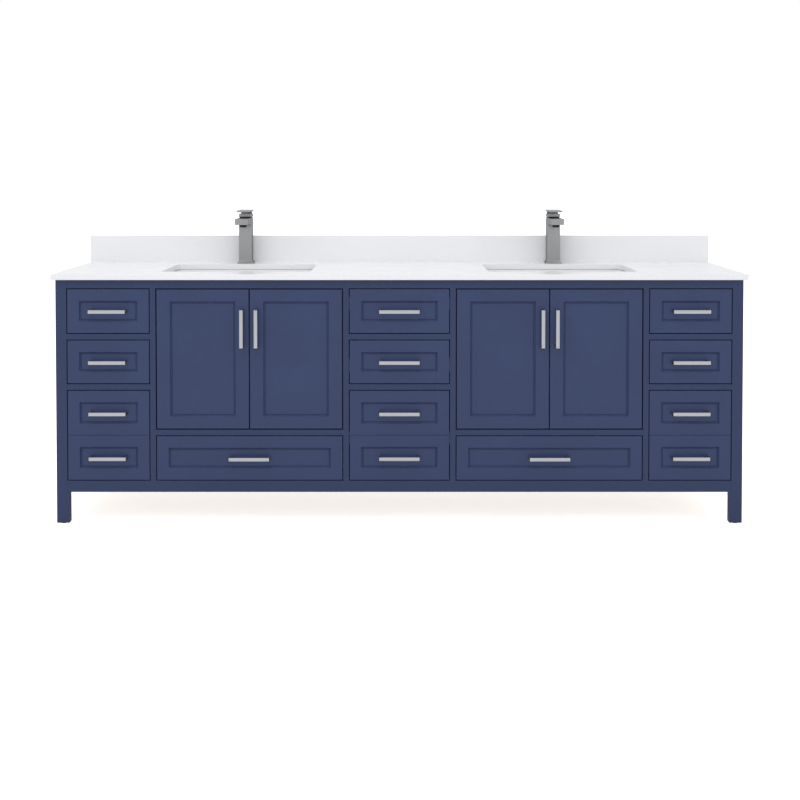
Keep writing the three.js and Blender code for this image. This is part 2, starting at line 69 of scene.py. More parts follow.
# ---- Shapes that the frame doesn't give
ROUND_STEPS = 48  # sides of a turned piece
NUT_STEPS = 24  # points round a nut
CORNER_STEPS = 6  # points round a quarter corner
SIDE_STEPS = 10  # points along a straight side of a basin's ring
EASE_ANGLE = math.radians(40)  # an edge sharper than this is eased
SHARP_ANGLE = math.radians(38)  # an edge sharper than this shows as a crease where nothing is eased
RECESS_PROFILE = (
    (0.06, 0.45), (0.20, 0.56), (0.36, 1.12), (0.50, 1.30), (0.74, 1.30), (0.92, 1.03), (1.0, 1.0),
)  # shares of its width and depth
EASE_PROFILE = ((1.0, 0.0), (0.29, 0.29), (0.0, 1.0))  # shares inward and downward of an eased stone edge
STONE_TOUCH = 0.05 * MM
JOINT_PLAY = 0.3 * MM  # between two boards of the case
PULL_CROWN = (  # shares across a pull's bar, and how far its front is sunk there
    (-1.0, 1.0), (-0.86, 0.5), (-0.6, 0.2), (-0.3, 0.05), (0.0, 0.0), (0.3, 0.05), (0.6, 0.2), (0.86, 0.5),
    (1.0, 1.0),
)


# ---- Settings

def length(name, description, millimetres):
    """A length that a user may change, given in millimetres."""
    return FloatProperty(
        name=name, description=description, default=millimetres * MM, min=0.0,
        unit="LENGTH", subtype="DISTANCE", precision=4,
    )


def colour(name, description, red, green, blue):
    """A colour that a user may change."""
    return FloatVectorProperty(
        name=name, description=description, default=(red, green, blue), size=3, min=0.0, max=1.0,
        subtype="COLOR",
    )


def share(name, description, value):
    """A roughness or other share, from 0 to 1."""
    return FloatProperty(
        name=name, description=description, default=value, min=0.0, max=1.0, subtype="FACTOR",
    )


class VanityTimber(bpy.types.PropertyGroup):
    """Sizes and colours of the painted and the plain timber."""

    leg_height: length("Leg height", "Clear height under the case", 112)
    leg_width: length("Leg width", "Width of a leg seen from its broad side", 44)
    frame_thickness: length("Frame thickness", "Thickness of the face frame", 20)
    side_border: length("Side border", "Stiles and rails round a side's recessed panel", 62)
    drawer_gap: length("Drawer gap", "Gap between a drawer front and the face frame", 3)
    door_gap: length("Door gap", "Gap above and below a door", 4)
    drawer_border: length("Drawer border", "Flat border round a drawer front's panel", 41)
    door_stile: length("Door stile", "Width of a door's upright border", 46.5)
    door_rail: length("Door rail", "Height of a door's level border", 42)
    recess: length("Recess", "Depth of a recessed panel", 6)
    slope: length("Slope", "Width of the moulding round a recessed panel", 8)
    groove_width: length("Groove width", "Groove between the two panels of a deep front", 3)
    groove_depth: length("Groove depth", "Depth of that groove", 2)
    paint_edge: length("Painted edge", "Rounding of a painted edge", 0.9)
    ply_edge: length("Plain edge", "Rounding of a bare timber edge", 0.5)
    box_wall: length("Box wall", "Thickness of a drawer box's walls", 12)
    box_floor: length("Box floor", "Thickness of a drawer box's bottom", 6)
    box_floor_raise: length("Box floor raise", "From a wall's lower edge to the bottom", 10)
    tail_pitch: length("Tail pitch", "Distance between two dovetails", 27)
    glide_height: length("Glide height", "Height of the glide under each leg", 3)
    glide_radius: length("Glide radius", "Radius of the glide under each leg", 11)
    frame_colour: colour("Frame paint", "Paint of the face frame, sides and legs", 0.0235, 0.039, 0.101)
    front_colour: colour("Front paint", "Paint of the doors and drawer fronts", 0.030, 0.047, 0.118)
    birch_light: colour("Birch light", "Light wood between the grain lines", 0.72, 0.56, 0.36)
    birch_dark: colour("Birch dark", "Grain lines of the bare wood", 0.50, 0.34, 0.18)
    paint_roughness: share("Paint roughness", "Satin finish of the paint", 0.42)


class VanityStone(bpy.types.PropertyGroup):
    """Sizes and colours of the worktop, the backsplash and the basins."""

    edge: length("Stone edge", "Rounding of the worktop's polished edges", 1.6)
    bead: length("Silicone bead", "Size of the bead between worktop and backsplash", 3)
    basin_wall: length("Basin wall", "Thickness of the bowl", 7)
    flange: length("Basin flange", "How far the rim reaches out under the worktop", 20)
    flange_thickness: length("Flange thickness", "Thickness of that rim", 10)
    bowl_corner: length("Bowl corner", "Corner radius of the bowl", 22)
    bowl_depth: length("Bowl depth", "From the rim to the floor of the bowl", 140)
    drain_radius: length("Drain radius", "Radius of the waste hole", 22.5)
    tap_hole: length("Tap hole", "Radius of the hole for a tap", 17.5)
    overflow_drop: length("Overflow drop", "From the rim to the overflow's middle", 12)
    stone_colour: colour("Stone", "White engineered stone", 0.82, 0.82, 0.83)
    fleck_colour: colour("Flecks", "Fine flecks in the stone", 0.60, 0.60, 0.62)
    ceramic_colour: colour("Ceramic", "White glaze", 0.80, 0.80, 0.805)
    silicone_colour: colour("Silicone", "Sealant bead", 0.78, 0.78, 0.78)


class VanityMetal(bpy.types.PropertyGroup):
    """Sizes and colours of the taps, the pulls, the slides, the hinges and the screws."""

    pull_corner: length("Pull corner", "Radius of a bar pull's outer corners", 2.4)
    pull_foot: length("Pull foot", "Width of a pull's foot", 8)
    pull_thickness: length("Pull thickness", "Thickness of a pull's bar", 8)
    pull_edge: length("Pull edge", "Rounding of a pull's edges", 0.8)
    crown: length("Pull crown", "How far the front of a pull's bar is rounded across", 1.6)
    tap_edge: length("Tap edge", "Rounding of a tap's edges", 1.0)
    column_corner: length("Column corner", "Corner radius of a tap's column", 2.5)
    spout_height: length("Spout height", "Height of the spout's section", 23)
    column_side: length("Column side", "Side of the tap's column", 50)
    shank_length: length("Shank length", "Threaded shank under the worktop", 70)
    slide_space: length("Slide space", "Space beside a drawer box for its slide", 12.7)
    slide_height: length("Slide height", "Height of a drawer slide", 44)
    slide_length: length("Slide length", "Length of a drawer slide", 450)
    slide_from_top: length("Top slide", "From a top drawer box's upper edge to its slides' middle", 17)
    sheet: length("Sheet thickness", "Thickness of pressed steel", 1.2)
    cup_radius: length("Hinge cup", "Radius of a hinge's cup", 17.5)
    screw_radius: length("Screw head", "Radius of a screw's head", 4)
    # Darker than the pulls' brushed nickel: the same nickel with painted shade for the taps.
    tap_shaded_colour: colour("Tap nickel", "Brushed nickel of the taps", 0.41, 0.41, 0.41)
    pull_colour: colour("Pull nickel", "Brushed nickel of the pulls", 0.565, 0.57, 0.585)
    steel_colour: colour("Zinc steel", "Zinc plate on slides and hinges", 0.60, 0.62, 0.64)
    chrome_colour: colour("Chrome", "Waste and stopper", 0.80, 0.81, 0.82)
    # Real dark plastic, and also the painted shade of the door strips, the tap ring, the overflow plug and
    # the aerator.
    plastic_and_shade_colour: colour("Dark plastic", "Aerators, bumpers and glides", 0.012, 0.012, 0.013)
    nickel_roughness: share("Nickel roughness", "Brushed finish of the nickel", 0.30)


class VanityStage(bpy.types.PropertyGroup):
    """The camera, the floor and the lights."""

    lens: FloatProperty(
        name="Lens", description="Focal length of the camera", default=52.65, min=1.0,
        subtype="DISTANCE_CAMERA",
    )
    distance: length("Camera distance", "From the worktop's front edge to the camera", 4072)
    height: length("Camera height", "Height of the camera above the floor", 1247.3)
    sideways: length("Camera sideways", "How far the camera stands right of the middle", 2)
    pitch: FloatProperty(
        name="Camera pitch", description="How far the camera looks down",
        default=math.radians(1.515), subtype="ANGLE", unit="ROTATION",
    )
    shift: FloatProperty(
        name="Lens shift", description="Upright shift of the lens", default=-0.25,
    )
    floor_colour: colour("Floor", "Pale studio floor", 0.90, 0.90, 0.90)
    key_power: FloatProperty(
        name="Key light", description="Power of the large light above the front", default=56.0,
        min=0.0, unit="POWER",
    )
    fill_power: FloatProperty(
        name="Fill light", description="Power of the light from the right", default=10.0,
        min=0.0, unit="POWER",
    )
    floor_glow: share("Floor glow", "How much the floor is lifted towards the backdrop's white", 0.68)
    ambient: share("Ambient", "Strength of the even white light all round", 0.88)


# ---- Shader nodes

MIX_FACTOR, MIX_A, MIX_B, MIX_RESULT = 0, 6, 7, 2  # sockets of a Mix node for colours


def add_node(tree, kind, settings=None, inputs=None):
    """A node with its settings, and its inputs given as values or as sockets to link."""
    made = tree.nodes.new(f"ShaderNode{kind}")
    for name, value in (settings or {}).items():
        setattr(made, name, value)
    for name, value in (inputs or {}).items():
        if isinstance(value, bpy.types.NodeSocket):
            tree.links.new(value, made.inputs[name])
        else:
            made.inputs[name].default_value = value
    return made


def maths(tree, operation, first, second=0.0, clamp=False):
    """The result of a Math node on two values or sockets."""
    settings = {"operation": operation, "use_clamp": clamp}
    return add_node(tree, "Math", settings, {0: first, 1: second}).outputs[0]


def times(tree, first, second, clamp=False):
    """The product of two values or sockets."""
    return maths(tree, "MULTIPLY", first, second, clamp)


def weighted(tree, first, first_weight, second, second_weight):
    """The weighted sum of two sockets."""
    return maths(tree, "ADD", times(tree, first, first_weight), times(tree, second, second_weight))


def remap(tree, value, low, high, to_low, to_high):
    """A value moved from one range to another, and kept inside it."""
    inputs = {
        "Value": value, "From Min": low, "From Max": high, "To Min": to_low, "To Max": to_high,
    }
    return add_node(tree, "MapRange", {"clamp": True}, inputs).outputs["Result"]


def mix_colours(tree, factor, first, second):
    """A colour between two, given as colours or as sockets."""
    inputs = {MIX_FACTOR: factor, MIX_A: first, MIX_B: second}
    return add_node(tree, "Mix", {"data_type": "RGBA"}, inputs).outputs[MIX_RESULT]


def noise(tree, coordinates, scale, detail=2.0, roughness=0.5, distortion=0.0):
    """The value of a Noise texture."""
    inputs = {
        "Vector": coordinates, "Scale": scale, "Detail": detail, "Roughness": roughness,
        "Distortion": distortion,
    }
    return add_node(tree, "TexNoise", None, inputs).outputs["Fac"]


def object_place(tree):
    """Coordinates fixed to the object."""
    return add_node(tree, "TexCoord").outputs["Object"]


def stretched(tree, coordinates, scale):
    """Coordinates scaled along each axis."""
    return add_node(tree, "Mapping", None, {"Vector": coordinates, "Scale": scale}).outputs["Vector"]


def opaque(rgb, factor=1.0):
    """A colour with alpha, made darker or lighter by a factor."""
    return (*[min(channel * factor, 1.0) for channel in rgb], 1.0)


# ---- Shared effects, as node groups

def effect_group(name, inputs, output):
    """An empty node group with named sockets, and its input and output nodes."""
    tree = bpy.data.node_groups.new(name, "ShaderNodeTree")
    for label, kind, value in inputs:
        socket = tree.interface.new_socket(name=label, in_out="INPUT", socket_type=f"NodeSocket{kind}")
        if value is not None:
            socket.default_value = value
    for label, kind in output:
        tree.interface.new_socket(name=label, in_out="OUTPUT", socket_type=f"NodeSocket{kind}")
    return tree, tree.nodes.new("NodeGroupInput").outputs, tree.nodes.new("NodeGroupOutput").inputs


def build_edge_wear():
    """Mask of edges rubbed by hands and cloths, broken up by noise."""
    tree, given, result = effect_group(
        "Edge wear",
        [("Width", "Float", 1.5 * MM), ("Amount", "Float", 0.4), ("Breakup", "Float", 60.0)],
        [("Mask", "Float")],
    )
    rounded = add_node(tree, "Bevel", {"samples": 3}, {"Radius": given["Width"]})
    surface = add_node(tree, "NewGeometry")
    turned = add_node(
        tree, "VectorMath", {"operation": "DOT_PRODUCT"},
        {0: rounded.outputs["Normal"], 1: surface.outputs["Normal"]},
    )
    edge = remap(tree, turned.outputs["Value"], 0.995, 0.88, 0.0, 1.0)
    patches = remap(tree, noise(tree, object_place(tree), given["Breakup"], 3.0), 0.40, 0.62, 0.15, 1.0)
    tree.links.new(times(tree, times(tree, edge, patches), given["Amount"], True), result["Mask"])
    return tree


def build_mottle():
    """Slow, soft unevenness, as cloudy patches of two sizes."""
    tree, given, result = effect_group(
        "Mottle", [("Scale", "Float", 6.0), ("Contrast", "Float", 1.0)], [("Value", "Float")],
    )
    place = object_place(tree)
    broad = noise(tree, place, given["Scale"], 3.0)
    fine = noise(tree, place, times(tree, given["Scale"], 7.0), 3.0, 0.6)
    both = weighted(tree, broad, 0.65, fine, 0.35)
    centred = times(tree, maths(tree, "SUBTRACT", both, 0.5), given["Contrast"])
    tree.links.new(maths(tree, "ADD", centred, 0.5, True), result["Value"])
    return tree


def build_dust():
    """Mask of fine dust on what faces up."""
    tree, given, result = effect_group("Fine dust", [("Amount", "Float", 0.2)], [("Mask", "Float")])
    coordinates = add_node(tree, "TexCoord").outputs
    upward = add_node(tree, "SeparateXYZ", None, {"Vector": coordinates["Normal"]}).outputs["Z"]
    flat = remap(tree, upward, 0.6, 1.0, 0.0, 1.0)
    specks = remap(tree, noise(tree, coordinates["Object"], 180.0, 4.0, 0.7), 0.45, 0.75, 0.2, 1.0)
    tree.links.new(times(tree, times(tree, flat, specks), given["Amount"], True), result["Mask"])
    return tree


def build_grain():
    """Wood grain. Its coordinates are short along the grain, and its lines run the way they are short."""
    tree, given, result = effect_group(
        "Wood grain",
        [("Vector", "Vector", None), ("Light", "Color", None), ("Dark", "Color", None)],
        [("Color", "Color"), ("Height", "Float")],
    )
    figure = noise(tree, given["Vector"], 9.0, 3.0, 0.5, 0.6)
    rings = maths(tree, "FRACT", times(tree, figure, 7.0))
    lines = remap(tree, maths(tree, "PINGPONG", rings, 0.5), 0.05, 0.5, 0.55, 0.0)
    fibres = remap(tree, noise(tree, given["Vector"], 260.0, 3.0, 0.6), 0.35, 0.70, 0.0, 0.45)
    both = maths(tree, "ADD", lines, fibres, True)
    tree.links.new(mix_colours(tree, both, given["Light"], given["Dark"]), result["Color"])
    tree.links.new(both, result["Height"])
    return tree


def build_brushing():
    """Fine parallel scratches. Its coordinates are short along the brushing."""
    tree, given, result = effect_group(
        "Brushing", [("Vector", "Vector", None), ("Scale", "Float", 900.0)], [("Value", "Float")],
    )
    fine = noise(tree, given["Vector"], given["Scale"], 2.0, 0.6)
    coarse = noise(tree, given["Vector"], times(tree, given["Scale"], 0.25), 2.0, 0.5)
    both = weighted(tree, fine, 0.6, coarse, 0.4)
    tree.links.new(remap(tree, both, 0.3, 0.7, 0.0, 1.0), result["Value"])
    return tree


EFFECTS = {
    "Edge wear": build_edge_wear, "Mottle": build_mottle, "Fine dust": build_dust,
    "Wood grain": build_grain, "Brushing": build_brushing,
}


def effect(tree, name, **inputs):
    """Places a shared effect in a material, and gives its outputs."""
    group = bpy.data.node_groups.get(name) or EFFECTS[name]()
    return add_node(tree, "Group", {"node_tree": group}, inputs).outputs


def mottle_of(tree, scale, contrast):
    """The value of the mottle effect."""
    return effect(tree, "Mottle", Scale=scale, Contrast=contrast)["Value"]


def wear_of(tree, width, amount, breakup):
    """The mask of the edge wear effect, for a width in millimetres."""
    return effect(tree, "Edge wear", Width=width * MM, Amount=amount, Breakup=breakup)["Mask"]


# ---- Materials

def new_material(name, **values):
    """A material with its Principled shader's plain values set, and its tree."""
    material = bpy.data.materials.new(name)
    material.use_nodes = True
    tree = material.node_tree
    shader = tree.nodes["Principled BSDF"]
    for socket, value in values.items():
        shader.inputs[socket.replace("_", " ")].default_value = value
    return material, tree, shader.inputs


def finish_look(tree, shader, base, roughness, height, strength, distance):
    """Links a material's colour and roughness, and a normal from a height in millimetres."""
    tree.links.new(base, shader["Base Color"])
    tree.links.new(roughness, shader["Roughness"])
    inputs = {"Height": height, "Strength": strength, "Distance": distance * MM}
    tree.links.new(add_node(tree, "Bump", None, inputs).outputs["Normal"], shader["Normal"])


def make_paint(name, rgb, roughness):
    """Satin paint sprayed on timber: faint grain and orange peel, slightly rubbed edges, fine dust."""
    material, tree, shader = new_material(name, Specular_IOR_Level=0.36, Coat_Roughness=0.35)
    place = object_place(tree)
    mottle = mottle_of(tree, 5.0, 1.6)
    wear = wear_of(tree, 1.6, 0.30, 45.0)
    dust = effect(tree, "Fine dust", Amount=0.10)["Mask"]
    painted = mix_colours(tree, mottle, opaque(rgb, 0.90), opaque(rgb, 1.10))
    rubbed = mix_colours(tree, wear, painted, opaque([channel * 0.8 + 0.06 for channel in rgb], 1.6))
    dusty = mix_colours(tree, dust, rubbed, (0.42, 0.42, 0.44, 1.0))
    uneven = remap(tree, mottle, 0.2, 0.8, roughness - 0.05, roughness + 0.06)
    rough = maths(tree, "ADD", uneven, times(tree, dust, 0.3))
    peel = noise(tree, place, 420.0, 2.0)
    grain = noise(tree, stretched(tree, place, (1.0, 1.0, 0.08)), 300.0, 3.0, 0.6)
    finish_look(tree, shader, dusty, rough, weighted(tree, peel, 0.7, grain, 0.3), 0.22, 0.25)
    return material


def make_birch(name, grain_axis, light, dark):
    """Bare lacquered birch with its grain along one axis, and darker end grain across it."""
    material, tree, shader = new_material(name, Specular_IOR_Level=0.4)
    coordinates = add_node(tree, "TexCoord").outputs
    scale = [1.0, 1.0, 1.0]
    scale[grain_axis] = 0.05
    along_grain = stretched(tree, coordinates["Object"], scale)
    grain = effect(tree, "Wood grain", Vector=along_grain, Light=opaque(light), Dark=opaque(dark))
    facing = add_node(tree, "SeparateXYZ", None, {"Vector": coordinates["Normal"]}).outputs[grain_axis]
    end_grain = remap(tree, maths(tree, "ABSOLUTE", facing), 0.7, 0.95, 0.0, 0.75)
    pores = noise(tree, coordinates["Object"], 700.0, 3.0, 0.7)
    ends = mix_colours(tree, pores, opaque(dark, 1.05), opaque(dark, 0.6))
    wood = mix_colours(tree, end_grain, grain["Color"], ends)
    rubbed = mix_colours(tree, wear_of(tree, 1.2, 0.35, 70.0), wood, opaque(light, 1.15))
    mottle = mottle_of(tree, 3.0, 1.5)
    shaded = mix_colours(tree, times(tree, mottle, 0.25), rubbed, opaque(dark, 1.3))
    rough = remap(tree, mottle, 0.2, 0.8, 0.42, 0.56)
    finish_look(tree, shader, shaded, rough, grain["Height"], 0.25, 0.2)
    return material


def make_stone(name, rgb, flecks):
    """Polished engineered stone: fine pale flecks, slow clouds and slight wear on the edges."""
    material, tree, shader = new_material(name, IOR=1.54, Coat_Roughness=0.08, Specular_IOR_Level=0.5)
    place = object_place(tree)
    cells = add_node(tree, "TexVoronoi", {"feature": "F1"}, {"Vector": place, "Scale": 420.0})
    chosen = remap(tree, noise(tree, place, 260.0, 2.0), 0.52, 0.68, 0.0, 0.55)
    near = remap(tree, cells.outputs["Distance"], 0.18, 0.42, 1.0, 0.0)
    clouds = mottle_of(tree, 2.4, 1.4)
    body = mix_colours(tree, clouds, opaque(rgb, 0.97), opaque(rgb, 1.03))
    flecked = mix_colours(tree, times(tree, near, chosen), body, opaque(flecks))
    worn = mix_colours(tree, wear_of(tree, 1.5, 0.15, 30.0), flecked, opaque(rgb, 0.9))
    rough = remap(tree, clouds, 0.2, 0.8, 0.16, 0.26)
    finish_look(tree, shader, worn, rough, noise(tree, place, 90.0, 2.0), 0.05, 0.2)
    return material


def make_ceramic(name, rgb):
    """Glazed ceramic: a thick clear glaze over a white body, with faint waviness."""
    material, tree, shader = new_material(name, IOR=1.5, Coat_Weight=0.6, Coat_Roughness=0.04)
    mottle = mottle_of(tree, 8.0, 1.2)
    glazed = mix_colours(tree, mottle, opaque(rgb, 0.98), opaque(rgb, 1.02))
    rough = remap(tree, mottle, 0.2, 0.8, 0.10, 0.16)
    finish_look(tree, shader, glazed, rough, noise(tree, object_place(tree), 35.0, 2.0), 0.06, 0.5)
    return material


def make_metal(name, rgb, roughness, brush_scale, brushing=1.0, wear_amount=0.5):
    """Brushed or plated metal: scratches along one way, patchy gloss and polished edges."""
    material, tree, shader = new_material(name, Metallic=1.0, Specular_Tint=(0.55, 0.55, 0.56, 1.0))
    along_brush = stretched(tree, object_place(tree), brush_scale)
    brush = effect(tree, "Brushing", Vector=along_brush)["Value"]
    mottle = mottle_of(tree, 14.0, 1.5)
    wear = wear_of(tree, 0.8, wear_amount, 120.0)
    dust = effect(tree, "Fine dust", Amount=0.08)["Mask"]
    contrast = 0.07 * brushing
    streaks = mix_colours(tree, brush, opaque(rgb, 1.0 - contrast), opaque(rgb, 1.0 + contrast))
    toned = mix_colours(tree, times(tree, mottle, 0.3), streaks, opaque(rgb, 0.9))
    polished = mix_colours(tree, wear, toned, opaque(rgb, 1.25))
    dusty = mix_colours(tree, dust, polished, (0.5, 0.5, 0.5, 1.0))
    tree.links.new(maths(tree, "SUBTRACT", 1.0, dust), shader["Metallic"])
    rough = maths(tree, "ADD", weighted(tree, brush, 0.08 * brushing, mottle, 0.08), roughness - 0.08)
    finish_look(tree, shader, dusty, rough, brush, 0.12 * brushing, 0.05)
    return material


def make_plastic(name, rgb, roughness):
    """Moulded plastic or rubber with a fine moulded texture."""
    material, tree, shader = new_material(name, Specular_IOR_Level=0.4)
    mottle = mottle_of(tree, 30.0, 1.5)
    body = mix_colours(tree, mottle, opaque(rgb, 0.85), opaque(rgb, 1.15))
    lighter = opaque([channel * 0.8 + 0.08 for channel in rgb])
    worn = mix_colours(tree, wear_of(tree, 0.6, 0.25, 150.0), body, lighter)
    rough = remap(tree, mottle, 0.2, 0.8, roughness - 0.05, roughness + 0.08)
    finish_look(tree, shader, worn, rough, noise(tree, object_place(tree), 900.0, 2.0), 0.15, 0.1)
    return material


ACROSS, DEEP, UPRIGHT, ALL_WAYS = (0.02, 1.0, 1.0), (1.0, 0.1, 1.0), (1.0, 1.0, 0.02), (1.0, 1.0, 1.0)

def finish_of(name):
    """A material by its name, made the first time that it is used."""
    made = bpy.data.materials.get(name)
    if made is None:
        scene = bpy.context.scene
        timber, stone, metal = scene.vanity_timber, scene.vanity_stone, scene.vanity_metal
        birch = (timber.birch_light, timber.birch_dark)
        satin, rough = timber.paint_roughness, metal.nickel_roughness
        makers = {
            "satin_frame": (make_paint, timber.frame_colour, satin),
            "satin_front": (make_paint, timber.front_colour, satin - 0.02),
            "birch_across": (make_birch, X, *birch),
            "birch_deep": (make_birch, Y, *birch),
            "birch_upright": (make_birch, Z, *birch),
            "engineered_stone": (make_stone, stone.stone_colour, stone.fleck_colour),
            "white_glaze": (make_ceramic, stone.ceramic_colour),
            "silicone": (make_plastic, stone.silicone_colour, 0.45),
            # A darker copy of the brushed nickel: painted shade on the taps.
            "nickel_tap": (make_metal, metal.tap_shaded_colour, rough, UPRIGHT),
            "nickel_level_pull": (make_metal, metal.pull_colour, rough + 0.04, ACROSS),
            "nickel_upright_pull": (make_metal, metal.pull_colour, rough + 0.04, UPRIGHT),
            "zinc_steel": (make_metal, metal.steel_colour, 0.36, DEEP, 0.5, 0.3),
            "chrome": (make_metal, metal.chrome_colour, 0.14, ALL_WAYS, 0.1, 0.2),
            # Dark plastic, and painted shade in gaps and holes.
            "dark_plastic": (make_plastic, metal.plastic_and_shade_colour, 0.5),
        }
        maker, *values = makers[name]
        made = maker(name, *values)
    return made


METAL_SLOT = "brushed_nickel"


# ---- Shapes

def along(axis, a, b, c):
    """A point with c on the axis, and a and b on the other two in order."""
    point = [a, b]
    point.insert(axis, c)
    return Vector(point)


def scaled(pairs):
    """A profile given in millimetres, in metres."""
    return [(a * MM, b * MM) for a, b in pairs]


def skin(bm, near, far):
    """Faces between two rings of vertices."""
    for i in range(len(near)):
        j = (i + 1) % len(near)
        bm.faces.new((near[i], near[j], far[j], far[i]))


def add_loft(bm, rings, closed=False):
    """A skin through rings of equal point count. Its ends are capped, or joined where it is closed."""
    made = [[bm.verts.new(point) for point in ring] for ring in rings]
    pairs = list(zip(made, made[1:]))
    if closed:
        pairs.append((made[-1], made[0]))
    else:
        bm.faces.new(made[0])
        bm.faces.new(made[-1])
    for near, far in pairs:
        skin(bm, near, far)


def add_prism(bm, outline, axis, start, end):
    """A closed prism along an axis. Its outline is drawn in the other two axes."""
    add_loft(bm, [[along(axis, a, b, c) for a, b in outline] for c in (start, end)])


def add_block(bm, corner, opposite):
    """A closed block between two opposite corners."""
    low, high = zip(*[sorted(pair) for pair in zip(corner, opposite)])
    outline = [(low[0], low[1]), (high[0], low[1]), (high[0], high[1]), (low[0], high[1])]
    add_prism(bm, outline, Z, low[2], high[2])


def add_turned(bm, profile, centre, axis=Z, closed=False, steps=ROUND_STEPS):
    """A turned piece. Its profile holds a radius and a place along the axis for each ring."""
    a, b = [value for i, value in enumerate(centre) if i != axis]
    turns = [2 * math.pi * i / steps for i in range(steps)]
    add_loft(bm, [[
        along(axis, a + radius * math.cos(turn), b + radius * math.sin(turn), centre[axis] + place)
        for turn in turns
    ] for radius, place in profile], closed)


def thread(radius, depth, pitch, turns, start=0.0):
    """The crests and roots of a thread that runs down from a start, as a profile."""
    profile = []
    for i in range(turns):
        profile += [(radius, start - i * pitch), (radius - depth, start - (i + 0.5) * pitch)]
    return profile


def arc(centre, radius, start, end, steps=CORNER_STEPS):
    """Points of an arc, from one angle in degrees to another."""
    angles = [math.radians(start + (end - start) * i / steps) for i in range(steps + 1)]
    return [(centre[0] + radius * math.cos(a), centre[1] + radius * math.sin(a)) for a in angles]


def rounded_rectangle(centre, width, depth, radius, side_steps=1):
    """Points round a rectangle with round corners, from its right side's lower end."""
    points = []
    for i, (right, back) in enumerate(((1, -1), (1, 1), (-1, 1), (-1, -1))):
        corner = (centre[0] + right * (width / 2 - radius), centre[1] + back * (depth / 2 - radius))
        points += arc(corner, radius, (i - 1) * 90, i * 90)
    if side_steps == 1:
        return points
    spread = []
    for here, there in zip(points, points[1:] + points[:1]):
        spread.append(here)
        if math.dist(here, there) > 2 * radius:
            for step in range(1, side_steps):
                t = step / side_steps
                spread.append((here[0] + (there[0] - here[0]) * t, here[1] + (there[1] - here[1]) * t))
    return spread


def level_square(centre, z, side, radius):
    """A level square ring with round corners."""
    return [(a, b, z) for a, b in rounded_rectangle(centre, side, side, radius)]


def eased_levels(low, high, edge):
    """Insets and heights of the rings of an eased slab, from its underside up."""
    lower = [(edge * a, low + edge * b) for a, b in EASE_PROFILE]
    return lower + [(edge * a, high - edge * b) for a, b in reversed(EASE_PROFILE)]


def add_recess(bm, ring, inward, timber):
    """The moulding and the panel inside a ring of four vertices."""
    corners = [vertex.co.copy() for vertex in ring]
    level = (corners[1] - corners[0]).normalized()
    upright = (corners[3] - corners[0]).normalized()
    towards = [(1, 1), (-1, 1), (-1, -1), (1, -1)]
    for width_share, depth_share in RECESS_PROFILE:
        inset, sunk = timber.slope * width_share, timber.recess * depth_share
        inner = [
            bm.verts.new(corner + level * (a * inset) + upright * (b * inset) + inward * sunk)
            for corner, (a, b) in zip(corners, towards)
        ]
        skin(bm, ring, inner)
        ring = inner
    bm.faces.new(ring)


def add_panelled_board(bm, timber, place, columns, rows, mouths, thickness, left_out=()):
    """A board whose face is a grid of columns and rows. A mouth is a cell that holds a recessed panel.

    `place` turns a level place, an upright place and a depth into a point. A row is an upright place and
    the depth of the face there."""
    inward = place(0, 0, 1) - place(0, 0, 0)
    grid = [[bm.verts.new(place(u, v, depth)) for v, depth in rows] for u in columns]
    for i in range(len(columns) - 1):
        for j in range(len(rows) - 1):
            ring = [grid[i][j], grid[i + 1][j], grid[i + 1][j + 1], grid[i][j + 1]]
            if (i, j) in mouths:
                add_recess(bm, ring, inward, timber)
            elif (i, j) not in left_out:
                bm.faces.new(ring)
    loose = [vertex for column in grid for vertex in column if not vertex.link_faces]
    bmesh.ops.delete(bm, geom=loose, context="VERTS")
    rim = [edge for edge in bm.edges if edge.is_boundary]
    back = place(0, 0, thickness)
    for made in bmesh.ops.extrude_edge_only(bm, edges=rim)["geom"]:
        if isinstance(made, bmesh.types.BMVert):
            made.co += inward * (back - made.co).dot(inward)
    bmesh.ops.edgeloop_fill(bm, edges=[edge for edge in bm.edges if edge.is_boundary])


def finish_piece(bm, name, finish, ease=0.0, replaces=(), body=CABINET, segments=2):
    """Makes an object of a shape: it rides on its body, and may stand for some of the frame's nodes."""
    bmesh.ops.recalc_face_normals(bm, faces=bm.faces)
    mesh = bpy.data.meshes.new(name)
    bm.to_mesh(mesh)
    bm.free()
    mesh.materials.append(finish_of(finish))
    mesh.shade_smooth()
    piece = bpy.data.objects.new(name, mesh)
    bpy.context.scene.collection.objects.link(piece)
    if ease:
        bevel = piece.modifiers.new("Eased edges", "BEVEL")
        bevel.width = ease
        bevel.segments = segments
        bevel.limit_method = "ANGLE"
        bevel.angle_limit = EASE_ANGLE
    else:
        mesh.set_sharp_from_angle(angle=SHARP_ANGLE)
    flat = piece.modifiers.new("Flat faces", "WEIGHTED_NORMAL")
    flat.keep_sharp = True
    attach(piece, body)
    if replaces:
        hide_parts(*replaces)


def finish_turned(name, finish, profile, place, closed=False):
    """A turned piece on its own."""
    bm = bmesh.new()
    add_turned(bm, profile, place, closed=closed)
    finish_piece(bm, name, finish)


SCREW_PROFILE = ((1.0, 0.0), (0.94, 0.45), (0.72, 0.85), (0.42, 1.0), (0.34, 0.45))  # shares
SCREW_STEPS = 20


def add_screw(bm, place, radius, height):
    """A round screw head with a socket in its middle, standing out backward."""
    profile = [(radius * a, height * b) for a, b in SCREW_PROFILE]
    add_turned(bm, profile, place, Y, steps=SCREW_STEPS)


def middle_of(node):
    """The middle of a node's box."""
    low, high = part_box(node)
    return (low + high) / 2


# ---- Face frame, legs and sides

def opening_span(node, gap):
    """The level and the upright span of the opening round a front."""
    low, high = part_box(node)
    return (low.x - gap, high.x + gap), (low.z - gap, high.z + gap)


def drawer_opening(timber, drawer):
    """The level and the upright span of a drawer's opening."""
    return opening_span(f"{drawer}_front", timber.drawer_gap)


def bay_opening(timber, side):
    """The upright span of the opening of a bay's doors."""
    return opening_span(f"{side}_bay_outer_door_leaf", timber.door_gap)[1]


